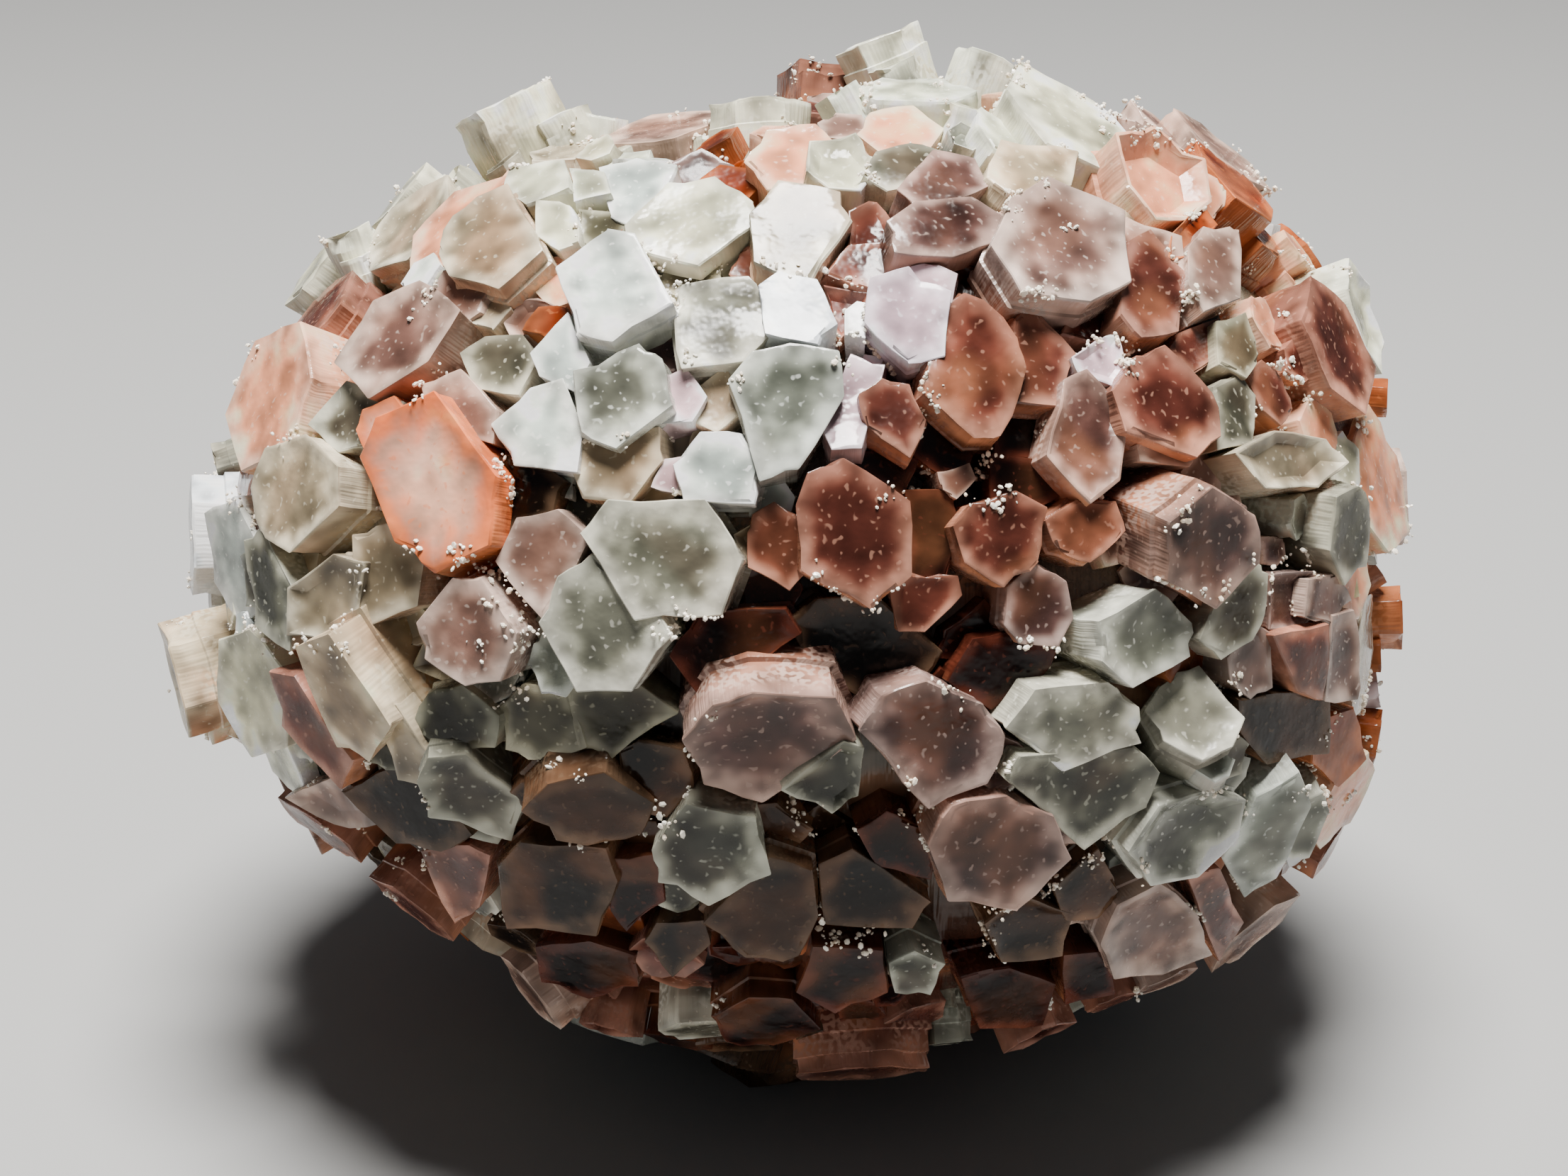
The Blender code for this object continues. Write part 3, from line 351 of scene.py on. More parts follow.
CROWN = (
    side("pale", (3.1, 28.3), (7.8, 30.2), toward=2),
    side("pale", (10.0, 28.9), (14.4, 27.2), toward=-6),
    side("pale", (-4.0, 25.5), (1.8, 25.6), toward=-10),
    side("pale", (-18.4, 24.3), (-12.9, 27.0), toward=-4),
    side("pale", (-12.4, 25.1), (-8.5, 24.6), toward=-6),
    side("frost", (-9.4, 22.4), (-5.4, 22.3), toward=6),
    side("pale", (-23.0, 18.6), (-20.0, 22.4), toward=4, body=8.0),
    side("orange", (-5.0, 22.8), (-2.4, 24.3), toward=14),
    side("peach", (-1.8, 23.9), (1.3, 24.0), toward=16),
    side("pale", (1.9, 25.5), (4.4, 26.9), toward=0),
    side("pale", (4.0, 26.4), (11.2, 26.3), toward=14),
    side("pale", (9.6, 25.6), (11.6, 25.0), toward=4, near=16.0),
    side("peach", (11.4, 26.1), (15.5, 26.3), toward=2),
    face("cream", [(12.6, 23.4), (16.8, 22.9), (16.2, 21.0), (13.2, 20.4), (11.8, 21.6)], lift=0.2),
    side("frost", (15.7, 25.4), (17.0, 25.2), toward=0, near=9.0),
    side("rose", (17.0, 25.2), (20.9, 24.2), toward=-4),
    side("rose", (22.1, 25.5), (27.7, 20.6), toward=7, near=5.0, body=10.0),
    face("peach", [(19.2, 23.7), (21.2, 24.0), (23.8, 22.4), (24.2, 20.2), (23.0, 19.2), (21.2, 19.2),
         (19.8, 21.0)], lift=1.6, aim=48, tilt=52, pit=0.9),
    face("frost", [(-10.0, 21.8), (-8.0, 22.4), (-6.0, 22.0), (-6.4, 20.9), (-8.4, 19.0), (-9.4, 19.4)]),
    face("pale", [(-15.2, 22.0), (-12.4, 22.3), (-12.0, 20.9), (-14.2, 20.0), (-15.4, 20.9)], lift=0.4),
    face("pale", [(-13.6, 20.0), (-11.8, 19.8), (-11.3, 17.8), (-12.4, 17.4), (-13.7, 18.2)], lift=-0.4),
    face("olive", [(-11.2, 19.4), (-8.6, 19.4), (-8.6, 18.2), (-10.4, 17.4), (-11.4, 18.2)], lift=-2.0),
    face("pale", [(-11.8, 21.8), (-10.0, 21.6), (-9.6, 20.6), (-11.6, 20.0)], lift=-0.2),
    face("grey", [(5.6, 22.8), (7.4, 23.2), (9.2, 22.9), (8.4, 21.2), (6.2, 20.8), (4.8, 21.6)], lift=-1.0),
    face("pale", [(1.8, 23.4), (4.2, 23.8), (5.4, 22.4), (4.6, 20.8), (2.8, 20.8), (1.6, 21.8)], lift=-0.6),
)

UPPER_LEFT = (
    face("cream", [(-17.8, 19.8), (-15.5, 20.8), (-13.7, 17.4), (-16.0, 15.4), (-18.5, 16.0),
         (-19.3, 17.7)], lift=1.4),
    face("pale", [(-8.5, 18.8), (-6.2, 20.9), (-3.8, 21.2), (-1.8, 20.0), (-1.6, 18.9), (-4.6, 16.7),
         (-8.0, 17.5)], lift=1.6),
    face("cream", [(-1.5, 19.4), (0.0, 21.1), (3.2, 20.4), (3.8, 19.0), (1.6, 15.7), (-1.3, 16.8)],
         lift=0.9),
    face("frost", [(-12.3, 16.2), (-9.7, 18.2), (-8.3, 17.9), (-6.4, 14.4), (-9.5, 12.5), (-11.4, 12.9)],
         lift=1.7),
    face("clear", [(-5.8, 14.0), (-5.4, 15.3), (-2.0, 15.6), (-0.8, 14.4), (-0.6, 12.8), (-2.2, 11.2),
         (-5.4, 10.8)], lift=0.9),
    # These faces are turned to mirror the lamp, and their white is a painted reflection as well
    face("white", [(-1.1, 15.2), (0.0, 16.0), (2.0, 15.5), (3.1, 13.2), (2.0, 12.2), (-0.7, 12.8)], lift=1.1,
         aim=0, tilt=31),
    face("white", [(3.8, 13.8), (4.4, 14.3), (4.8, 14.2), (4.8, 12.4), (3.8, 12.6)],
         lift=0.0, aim=0, tilt=31),
    side("pale", (-27.9, 14.2), (-25.0, 18.2), toward=6),
    side("pale", (-25.8, 17.8), (-23.2, 18.9), toward=2, near=9.0),
    face("rose", [(-22.8, 14.2), (-20.4, 15.4), (-18.4, 13.8), (-20.0, 11.2), (-23.0, 9.3), (-24.8, 11.2)],
         lift=0.9),
    side("grey", (-29.9, 7.8), (-27.9, 13.0), toward=14),
    side("white", (-30.0, 9.2), (-29.8, 10.6), toward=0, near=2.0),
    face("grey", [(-26.4, 7.4), (-24.4, 9.7), (-21.6, 8.6), (-22.0, 6.6), (-24.8, 6.0)], lift=-0.9),
    face("grey", [(-17.8, 11.4), (-16.6, 12.4), (-14.6, 12.4), (-13.8, 11.0), (-14.8, 9.2), (-17.1, 9.6)],
         lift=-0.8),
    face("rose", [(-20.0, 9.6), (-18.0, 10.3), (-16.1, 8.2), (-16.4, 6.6), (-18.0, 6.9), (-19.6, 8.0)],
         lift=0.2),
    face("frost", [(-13.9, 11.4), (-12.0, 13.5), (-10.9, 11.0), (-11.4, 9.4), (-13.4, 10.2)], lift=0.4),
    face("frost", [(-16.0, 7.4), (-14.0, 9.2), (-12.4, 9.8), (-11.4, 7.4), (-11.7, 5.0), (-14.8, 5.4)],
         lift=0.5),
    face("clear", [(-11.4, 10.4), (-8.0, 11.8), (-6.8, 11.0), (-6.4, 8.6), (-9.2, 6.4), (-11.2, 7.2)],
         lift=1.3),
    face("cream", [(-11.8, 5.8), (-10.4, 7.0), (-7.0, 7.2), (-6.8, 5.4), (-8.4, 3.4), (-11.0, 3.4)],
         lift=0.1),
    face("lilac", [(-6.6, 9.8), (-5.4, 10.4), (-4.3, 9.0), (-5.0, 7.8), (-6.8, 7.4)], lift=-0.2),
    face("clear", [(-2.6, 9.8), (-1.4, 11.3), (0.6, 11.8), (3.0, 11.4), (3.4, 9.0), (1.0, 5.3),
         (-1.0, 4.8)], lift=1.2),
    face("frost", [(-5.8, 5.2), (-4.4, 6.9), (-2.4, 7.0), (-1.2, 5.0), (-1.6, 3.2), (-5.2, 3.2)], lift=1.2),
    face("lilac", [(-7.2, 4.0), (-6.4, 5.4), (-5.2, 5.6), (-5.4, 3.6)], lift=0.1),
    # Lilac here is the pink crystal with a painted reflection, on a face turned towards the lamp
    face("lilac", [(2.6, 7.2), (3.2, 9.8), (4.0, 11.2), (5.8, 10.6), (4.6, 6.3), (3.0, 6.2)], lift=0.3,
         aim=0, tilt=27),
    face("orange", [(-14.4, 12.8), (-13.6, 14.0), (-12.2, 14.0), (-12.0, 13.0), (-13.2, 12.4)], lift=-0.6),
    face("cream", [(-4.6, 9.4), (-3.0, 10.6), (-2.2, 8.4), (-3.6, 7.2), (-4.8, 7.8)], lift=-0.7),
    face("olive", [(-6.4, 16.2), (-3.6, 16.4), (-3.0, 15.4), (-5.6, 14.8), (-7.0, 15.2)], lift=-1.6),
)

RED_ZONE = (
    face("brown", [(4.0, 19.4), (5.6, 20.2), (6.6, 18.0), (5.0, 17.2), (4.0, 17.6)], lift=-1.4),
    face("brown", [(2.6, 16.0), (4.0, 17.4), (6.6, 17.6), (7.6, 15.6), (5.4, 15.0)], lift=-1.0),
    face("brown", [(2.6, 15.2), (5.0, 14.8), (4.8, 13.4), (3.6, 12.4), (3.0, 13.2)], lift=-1.2),
    face("mauve", [(6.8, 20.8), (8.8, 22.8), (10.8, 22.4), (11.6, 21.0), (9.8, 20.0), (8.0, 19.8)], lift=0.4),
    face("mauve", [(6.3, 18.9), (7.8, 19.9), (10.7, 20.1), (12.2, 19.2), (11.8, 17.8), (9.8, 17.1),
         (6.7, 17.3)], lift=1.5),
    face("rose", [(12.4, 17.6), (13.4, 20.0), (15.2, 21.2), (19.2, 19.4), (19.6, 15.8), (17.4, 14.7),
         (13.8, 15.3)], lift=2.2),
    face("brown", [(19.8, 17.6), (21.0, 18.2), (23.0, 15.8), (22.4, 12.9), (20.6, 12.4), (19.4, 13.8)],
         lift=0.6),
    face("rose", [(23.2, 17.4), (24.0, 18.4), (26.0, 18.4), (25.8, 14.8), (24.0, 14.1), (23.2, 15.4)],
         lift=0.9),
    face("orange", [(22.2, 18.2), (23.8, 19.8), (24.6, 18.6), (23.6, 17.2), (22.0, 16.8)], lift=0.0),
    # Lilac here is the pink crystal with a painted reflection, on a face turned towards the lamp
    face("lilac", [(5.3, 15.5), (7.2, 16.1), (9.5, 14.8), (9.0, 11.6), (7.2, 11.1), (4.9, 13.2)], lift=1.5,
         aim=0, tilt=21),
    face("maroon", [(9.4, 16.0), (10.4, 16.4), (12.8, 15.8), (13.0, 14.2), (12.2, 13.2), (9.8, 14.6)],
         lift=-1.4),
    face("brown", [(8.7, 12.2), (10.5, 14.9), (13.4, 12.4), (13.7, 10.6), (12.5, 7.1), (11.0, 7.1),
         (8.4, 9.3)], lift=1.2),
    face("brown", [(13.4, 13.4), (14.4, 13.8), (16.5, 11.4), (15.6, 8.8), (13.4, 9.0)], lift=0.0),
    face("lilac", [(16.7, 11.2), (18.4, 12.5), (19.1, 12.4), (19.5, 10.4), (18.9, 9.7), (17.0, 10.4)],
         lift=0.1),
    face("brown", [(19.1, 9.4), (20.4, 11.0), (21.8, 11.5), (24.4, 9.2), (24.6, 7.0), (23.4, 5.9),
         (19.8, 7.2)], lift=1.0),
    face("rose", [(20.4, 6.3), (22.0, 7.0), (23.6, 5.8), (23.0, 5.2), (20.6, 5.5)], lift=-0.2),
    face("mauve", [(16.2, 9.6), (17.4, 10.2), (19.6, 7.8), (19.0, 4.6), (17.6, 3.3), (15.3, 5.8)], lift=0.9),
    face("brown", [(4.7, 9.0), (5.8, 9.9), (7.2, 9.6), (8.3, 7.8), (7.2, 5.8), (5.0, 7.2)], lift=0.9),
    face("maroon", [(8.4, 9.0), (10.8, 7.2), (10.6, 5.0), (9.0, 4.8), (7.6, 5.8)], lift=-1.4),
    face("rose", [(9.0, 4.8), (10.6, 5.2), (11.0, 4.4), (10.0, 3.4), (9.2, 3.8)], lift=-0.6),
    face("maroon", [(12.4, 8.4), (15.4, 8.6), (15.2, 5.8), (12.2, 5.6)], lift=-2.2),
    face("maroon", [(12.0, 5.6), (15.2, 5.4), (16.2, 3.8), (14.6, 3.0), (12.2, 3.2)], lift=-1.2),
    face("brown", [(1.2, 2.8), (1.8, 4.4), (3.6, 5.2), (7.2, 3.0), (7.1, -0.8), (5.0, -2.6), (1.4, -0.6)],
         lift=2.4),
    face("maroon", [(4.0, 5.9), (5.8, 6.2), (7.6, 5.4), (6.8, 3.6), (4.8, 4.0)], lift=-1.0),
    face("maroon", [(7.2, 3.6), (9.8, 3.6), (10.2, 1.6), (9.2, -1.2), (7.4, -1.2)], lift=-0.8),
    face("brown", [(6.4, -1.8), (7.4, -1.0), (9.8, -1.2), (10.0, -2.2), (8.2, -4.1), (6.8, -4.0)], lift=-0.3),
    face("brown", [(10.0, 1.6), (11.0, 2.8), (13.2, 3.4), (14.8, 2.6), (14.6, -0.2), (12.6, -1.4),
         (10.6, -0.2)], lift=1.0),
    face("brown", [(15.2, 2.0), (16.8, 3.2), (18.8, 3.0), (19.4, 1.4), (17.6, -0.2), (15.8, 0.4)], lift=0.5),
    face("mauve", [(13.0, -1.8), (14.4, -0.6), (16.0, -1.6), (16.4, -3.4), (15.6, -4.8), (13.6, -4.8),
         (12.8, -3.8)], lift=0.3),
    face("umber", [(0.8, -3.8), (2.4, -2.6), (5.6, -2.6), (8.8, -5.4), (8.0, -7.6), (5.6, -8.2),
         (2.0, -6.2)], lift=-1.0),
    face("maroon", [(11.0, -4.8), (13.2, -4.4), (15.3, -5.4), (14.6, -7.6), (12.0, -8.4), (9.8, -7.0)],
         lift=-0.5),
    face("maroon", [(-4.6, -3.4), (0.0, -3.2), (0.8, -4.4), (-2.0, -6.6), (-4.4, -7.7), (-5.8, -5.6)],
         lift=0.3),
    face("maroon", [(-2.4, -1.2), (0.0, -0.2), (1.2, -1.8), (0.6, -3.2), (-2.0, -3.0)], lift=-1.5),
    face("cream", [(-2.4, 1.2), (-1.2, 2.0), (-0.2, 1.6), (-0.2, 0.2), (-1.6, -0.6)], lift=-0.4),
    face("maroon", [(9.4, -4.2), (11.4, -2.6), (12.4, -4.0), (10.8, -5.8), (9.0, -5.6)], lift=-1.8),
    face("maroon", [(10.6, 13.2), (12.6, 13.4), (13.4, 12.0), (12.0, 11.0)], lift=-1.8),
    face("brown", [(16.6, 13.8), (19.0, 13.9), (19.6, 12.4), (17.4, 12.2), (16.0, 12.6)], lift=-1.6),
    face("brown", [(22.6, 12.6), (24.6, 13.4), (25.0, 11.4), (23.4, 10.4), (22.0, 11.6)], lift=-1.2),
)

RIGHT_SIDE = (
    side("peach", (28.4, 18.7), (30.2, 16.2), toward=6),
    side("frost", (26.2, 18.9), (28.2, 18.7), toward=0, near=5.0),
    side("pale", (32.2, 16.9), (34.0, 10.2), toward=13, near=9.0, body=12.0),
    side("pale", (31.2, 7.4), (27.7, 6.8), toward=4, near=15.0, thick=0.6, body=9.0),
    face("cream", [(26.0, 5.8), (28.0, 7.0), (30.8, 6.6), (31.8, 5.4), (30.4, 4.0), (27.6, 4.0)], lift=0.2),
    side("orange", (34.3, 10.0), (34.2, 7.8), toward=0, near=3.0),
    face("grey", [(24.6, 9.6), (26.0, 10.2), (26.8, 9.0), (26.6, 6.6), (24.8, 6.2)], lift=-0.6),
    face("olive", [(24.8, 13.2), (26.2, 13.6), (27.2, 11.4), (26.4, 10.2), (25.0, 11.0)], lift=-0.2),
    face("grey", [(31.5, 3.2), (32.8, 3.9), (33.5, 2.2), (33.0, -0.4), (32.0, -1.4), (31.2, 0.4)], lift=2.0,
         aim=98, tilt=62, body=9.0),
    side("rose", (35.1, 6.2), (35.2, 0.6), toward=-6, near=0.0),
    side("orange", (35.0, -1.5), (35.1, -5.3), toward=-4, near=2.0),
    side("brown", (33.2, 0.2), (34.3, -1.4), toward=0, near=3.0),
    face("mauve", [(27.8, -1.2), (30.0, -1.0), (30.2, -3.0), (29.2, -4.2), (27.8, -4.0)], lift=-1.0),
    face("brown", [(28.2, -4.6), (30.8, -4.0), (31.0, -5.8), (30.8, -8.0), (29.4, -7.6)], lift=0.2),
    face("rose", [(31.2, -3.6), (32.4, -3.4), (32.8, -5.8), (32.6, -8.0), (31.0, -8.0)], lift=0.4),
    face("rose", [(30.0, -1.4), (31.6, -1.0), (32.2, -2.6), (31.2, -3.8), (29.8, -3.4)], lift=0.1),
    face("mauve", [(22.4, 1.9), (24.5, 3.5), (26.8, 2.2), (26.9, -0.4), (24.6, -2.6), (22.2, -1.2)],
         lift=3.0, aim=112, tilt=48, body=10.0),
    face("grey", [(23.8, -4.6), (24.6, -2.6), (26.8, -0.6), (27.4, -1.2), (27.4, -3.2), (26.6, -4.6),
         (25.0, -5.6)], lift=0.3),
    face("clear", [(18.3, -3.8), (21.2, -2.1), (23.0, -3.8), (22.9, -5.6), (20.0, -7.2), (18.4, -5.8)],
         lift=1.2, aim=100, tilt=44),
    side("lilac", (33.6, -6.4), (34.0, -8.6), toward=0, near=2.0),
    side("orange", (34.1, -8.7), (33.4, -12.2), toward=-2, near=2.0),
    face("umber", [(26.2, -8.2), (28.0, -7.8), (30.8, -8.0), (30.8, -11.0), (27.6, -11.5), (26.2, -9.8)],
         lift=-1.2),
    face("rose", [(25.4, -5.8), (26.8, -3.8), (27.8, -4.6), (27.6, -7.2), (26.6, -7.9), (25.6, -7.0)],
         lift=-0.4),
    side("orange", (32.6, -12.4), (32.1, -14.8), toward=0, near=4.0),
    side("brown", (32.0, -15.0), (30.0, -18.3), toward=6, near=6.0),
    face("orange", [(30.4, -9.4), (32.4, -8.8), (33.0, -11.4), (31.6, -12.8), (30.2, -11.6)], lift=0.2),
    side("rose", (29.4, -19.0), (24.4, -23.5), toward=10, near=8.0, body=9.0),
    face("clear", [(20.8, -8.6), (22.0, -7.0), (23.6, -6.4), (26.0, -9.0), (25.4, -10.6), (23.8, -11.4),
         (21.8, -10.2)], lift=0.9, aim=40, tilt=24),
    face("grey", [(23.6, -12.2), (25.6, -10.0), (26.4, -10.6), (26.0, -12.2), (24.0, -13.0)], lift=-0.6),
    face("clear", [(20.0, -16.6), (21.6, -14.2), (24.0, -13.4), (26.0, -14.0), (25.6, -15.8),
         (23.6, -17.9), (21.2, -18.3)], lift=1.1, pit=0.5),
    face("clear", [(25.2, -17.0), (27.0, -13.8), (29.2, -12.6), (29.8, -14.2), (28.0, -18.0),
         (26.4, -18.9)], lift=1.2, aim=150, tilt=50),
)

LEFT_SIDE = (
    side("white", (-33.2, 4.7), (-33.2, -2.4), toward=2, near=4.0, body=9.0),
    side("grey", (-32.2, 6.4), (-31.6, 4.4), toward=0, near=3.0),
    side("cream", (-35.1, -3.6), (-33.3, -10.3), toward=3, near=8.0, body=11.0),
    side("cream", (-31.2, -10.1), (-28.8, -11.2), toward=2, near=9.0),
    face("cream", [(-29.6, 3.8), (-29.0, 5.8), (-26.8, 6.6), (-25.1, 5.0), (-25.2, 3.0), (-27.6, 0.6),
         (-29.4, 1.6)], lift=1.3),
    face("salmon", [(-23.3, 5.4), (-22.6, 7.4), (-19.6, 8.8), (-16.4, 4.6), (-16.8, 1.0), (-19.6, -0.5),
         (-21.6, 1.2)], lift=2.2),
    face("cream", [(-24.0, 1.0), (-22.2, 1.6), (-20.4, -0.2), (-20.6, -2.6), (-23.6, -3.8)], lift=-0.4),
    face("cream", [(-27.6, -1.8), (-25.2, -0.2), (-23.6, -0.6), (-24.0, -3.4), (-26.0, -4.6),
         (-27.6, -4.2)], lift=-0.2),
    face("grey", [(-30.2, 0.6), (-29.2, 1.4), (-27.6, -1.8), (-27.8, -5.0), (-29.6, -3.8)], lift=0.0),
    face("umber", [(-16.6, 3.8), (-16.0, 5.6), (-14.0, 5.6), (-12.4, 4.2), (-13.0, 2.4), (-15.6, 1.4)],
         lift=-0.4),
    face("olive", [(-12.4, 4.0), (-10.8, 3.8), (-9.6, 2.6), (-10.6, 1.4), (-12.0, 1.8)], lift=-2.0),
    face("rose", [(-15.8, -0.2), (-14.8, 2.0), (-12.6, 2.4), (-11.0, 1.0), (-13.4, -3.4)], lift=0.6),
    face("clear", [(-10.8, 1.2), (-9.4, 2.9), (-4.4, 2.9), (-2.4, -0.2), (-3.6, -3.0), (-8.0, -3.3)],
         lift=2.1),
    face("clear", [(-13.2, -3.8), (-12.4, -1.4), (-10.6, -0.2), (-7.8, -2.2), (-6.4, -4.4),
         (-8.6, -7.2), (-11.4, -7.3)], lift=1.4),
    face("rose", [(-20.2, -3.8), (-18.4, -1.6), (-17.0, -1.4), (-15.0, -4.4), (-16.0, -6.8),
         (-17.8, -7.0), (-19.8, -5.6)], lift=1.3),
    face("cream", [(-27.0, -5.6), (-25.4, -4.8), (-22.2, -9.6), (-23.4, -11.2), (-25.0, -10.6)],
         lift=1.8, aim=232, tilt=56, body=10.0),
    face("brown", [(-28.6, -6.8), (-27.4, -7.0), (-24.4, -11.4), (-25.0, -12.8), (-28.0, -9.6)], lift=0.4),
    side("brown", (-28.4, -13.6), (-23.6, -17.4), toward=8, near=8.0),
    side("brown", (-23.2, -18.0), (-18.4, -21.8), toward=8, near=9.0),
    face("umber", [(-24.4, -13.4), (-21.6, -12.0), (-19.8, -12.8), (-17.8, -15.6), (-19.2, -16.6),
         (-21.6, -16.0)], lift=-0.1),
    face("brown", [(-20.0, -16.8), (-17.6, -16.4), (-16.4, -17.0), (-17.0, -19.8), (-18.4, -20.6)],
         lift=0.2),
    face("rose", [(-27.8, -13.6), (-24.8, -12.4), (-22.6, -15.2), (-25.2, -15.2)], lift=0.2),
    face("grey", [(-20.2, -12.8), (-19.6, -11.6), (-17.8, -11.4), (-14.6, -13.8), (-15.4, -15.9),
         (-19.6, -14.6)], lift=1.0, aim=188, tilt=42),
    face("olive", [(-23.6, -9.4), (-21.0, -8.6), (-19.8, -11.0), (-21.6, -12.0), (-23.4, -11.6)], lift=-1.0),
)

# The lower front: its umber, maroon and olive crystals carry painted shade as well as their own dark colour
LOWER_FRONT = (
    face("olive", [(-11.8, -7.6), (-8.4, -7.0), (-6.2, -8.8), (-9.6, -11.2), (-11.2, -10.6)], lift=-0.5),
    face("olive", [(-15.6, -8.6), (-14.4, -7.4), (-12.0, -7.6), (-11.2, -10.6), (-13.6, -11.6),
         (-15.4, -10.8)], lift=-0.8),
    face("olive", [(-20.6, -9.8), (-20.0, -7.8), (-18.0, -7.4), (-16.0, -9.0), (-16.4, -10.6),
         (-18.4, -11.1)], lift=-0.4),
    face("umber", [(-9.2, -11.0), (-8.0, -10.6), (-5.6, -11.0), (-5.0, -13.0), (-6.4, -14.6),
         (-8.2, -14.0)], lift=-0.6),
    face("umber", [(-14.2, -14.4), (-13.0, -13.0), (-10.0, -12.4), (-7.4, -14.0), (-8.0, -15.6),
         (-10.8, -16.2), (-12.4, -15.9)], lift=1.0, aim=182, tilt=46),
    face("mauve", [(-5.1, -10.4), (-3.6, -8.6), (-1.6, -8.0), (2.6, -8.2), (3.8, -10.4), (-1.0, -13.5),
         (-4.0, -12.7)], lift=2.3, aim=176, tilt=40),
    face("grey", [(0.2, -13.2), (3.6, -10.6), (4.6, -11.0), (4.2, -13.4), (3.0, -14.3)], lift=1.3,
         aim=165, tilt=40),
    face("mauve", [(4.8, -9.8), (6.0, -8.0), (8.4, -7.4), (11.2, -8.6), (12.6, -10.2), (11.6, -12.6),
         (8.4, -13.8)], lift=2.1),
    face("clear", [(13.2, -9.6), (14.6, -7.7), (18.4, -7.2), (20.0, -8.6), (20.0, -10.4), (16.2, -11.8)],
         lift=1.3),
    face("grey", [(13.2, -12.6), (14.0, -11.4), (19.8, -10.9), (21.1, -12.2), (20.4, -14.0),
         (17.2, -16.2)], lift=1.0),
    face("mauve", [(8.8, -16.2), (9.8, -14.2), (12.8, -13.8), (15.2, -14.8), (16.0, -17.0),
         (13.4, -19.7), (9.8, -19.2)], lift=1.8),
    face("grey", [(-6.9, -16.6), (-5.2, -14.3), (-1.6, -15.0), (-0.9, -17.8), (-4.0, -19.4),
         (-6.6, -18.2)], lift=1.1),
    face("umber", [(-4.0, -20.6), (-0.6, -17.2), (1.6, -18.0), (1.9, -20.2), (1.0, -22.6), (-1.8, -22.6)],
         lift=0.3),
    face("umber", [(-15.8, -17.8), (-14.4, -16.4), (-10.0, -16.6), (-9.4, -18.4), (-10.6, -21.2),
         (-15.2, -20.8)], lift=0.4),
    face("umber", [(-7.4, -21.8), (-6.8, -20.8), (-4.4, -20.6), (-4.2, -21.8), (-6.0, -23.5)], lift=0.2),
    face("maroon", [(-13.6, -22.2), (-10.8, -21.8), (-8.4, -22.6), (-8.2, -24.2), (-10.8, -24.8),
         (-13.2, -24.0)], lift=0.6),
    side("rose", (-15.8, -22.6), (-12.4, -26.8), toward=8, near=10.0),
    side("brown", (-11.4, -26.4), (-7.8, -27.2), toward=8, near=10.0),
    side("maroon", (-7.8, -27.0), (-3.8, -27.8), toward=8, near=9.0),
    face("maroon", [(-3.6, -26.2), (-1.6, -25.0), (0.6, -25.2), (2.0, -26.6), (-0.4, -27.6),
         (-2.8, -27.4)], lift=0.8),
    side("grey", (8.0, -27.7), (11.0, -27.3), toward=4, near=9.0),
    face("maroon", [(4.6, -15.6), (6.2, -14.6), (8.6, -15.4), (8.6, -18.2), (5.6, -17.4)], lift=-0.8),
    face("umber", [(2.4, -17.6), (4.2, -16.8), (8.2, -19.4), (7.2, -20.8), (2.8, -20.6)], lift=-0.6),
    face("grey", [(6.4, -23.0), (7.6, -22.4), (9.2, -23.0), (8.4, -24.6), (6.6, -24.6)], lift=0.2),
    face("maroon", [(2.0, -22.2), (5.6, -22.4), (6.0, -24.6), (3.2, -25.6), (1.2, -24.6)], lift=-0.2),
    face("umber", [(11.8, -20.8), (13.6, -19.2), (16.4, -20.2), (15.8, -22.4), (12.6, -22.8)], lift=0.0),
    face("umber", [(15.6, -18.8), (18.0, -16.8), (19.2, -18.8), (18.0, -20.4), (16.4, -20.4)], lift=-0.7),
    face("rose", [(18.4, -21.8), (19.2, -19.8), (21.6, -18.6), (23.6, -20.6), (24.0, -22.4),
         (21.6, -23.4), (19.2, -23.6)], lift=0.5),
    face("brown", [(23.2, -18.2), (24.8, -17.8), (26.2, -20.6), (24.8, -22.8)], lift=0.0),
    side("brown", (12.6, -28.1), (16.8, -26.2), toward=8, near=9.0),
    side("brown", (17.0, -25.8), (20.4, -24.7), toward=8, near=9.0),
    side("rose", (20.0, -24.9), (23.6, -23.2), toward=8, near=9.0),
    face("maroon", [(10.4, -24.0), (13.0, -23.4), (15.4, -24.2), (14.8, -26.4), (11.4, -26.6)], lift=0.2),
    face("maroon", [(16.2, -22.6), (18.4, -22.4), (18.8, -24.6), (16.2, -25.2)], lift=-0.2),
    face("maroon", [(6.8, -8.6), (9.2, -6.4), (10.6, -7.6), (9.0, -9.0)], lift=-1.2),
    face("umber", [(-3.4, -14.2), (-0.2, -14.0), (1.6, -15.4), (0.2, -16.8), (-1.4, -16.0)], lift=-1.4),
    face("maroon", [(-9.2, -17.2), (-7.0, -17.0), (-6.6, -19.4), (-8.6, -21.0), (-9.8, -19.4)], lift=-0.8),
)

PLACED = CROWN + UPPER_LEFT + RED_ZONE + RIGHT_SIDE + LEFT_SIDE + LOWER_FRONT


def standing_crystal(across, back, width, turn_deg):
    """A crystal that ends on the ground, with its end face level."""
    turn = math.radians(turn_deg)
    along = Vector((math.cos(turn), math.sin(turn), 0.0))
    down = Vector((0.0, 0.0, -1.0))
    foot = Vector((MIDDLE.x + across, MIDDLE.y + back, 0.0))
    outline = hexagon(foot, down, along, width, 1.0)
    # Umber, the darkest tint: partly its own colour, partly painted shade under the cluster
    return {"tint": "umber", "outline": outline, "axis": down, "body": 11.0, "pit": 0.0}


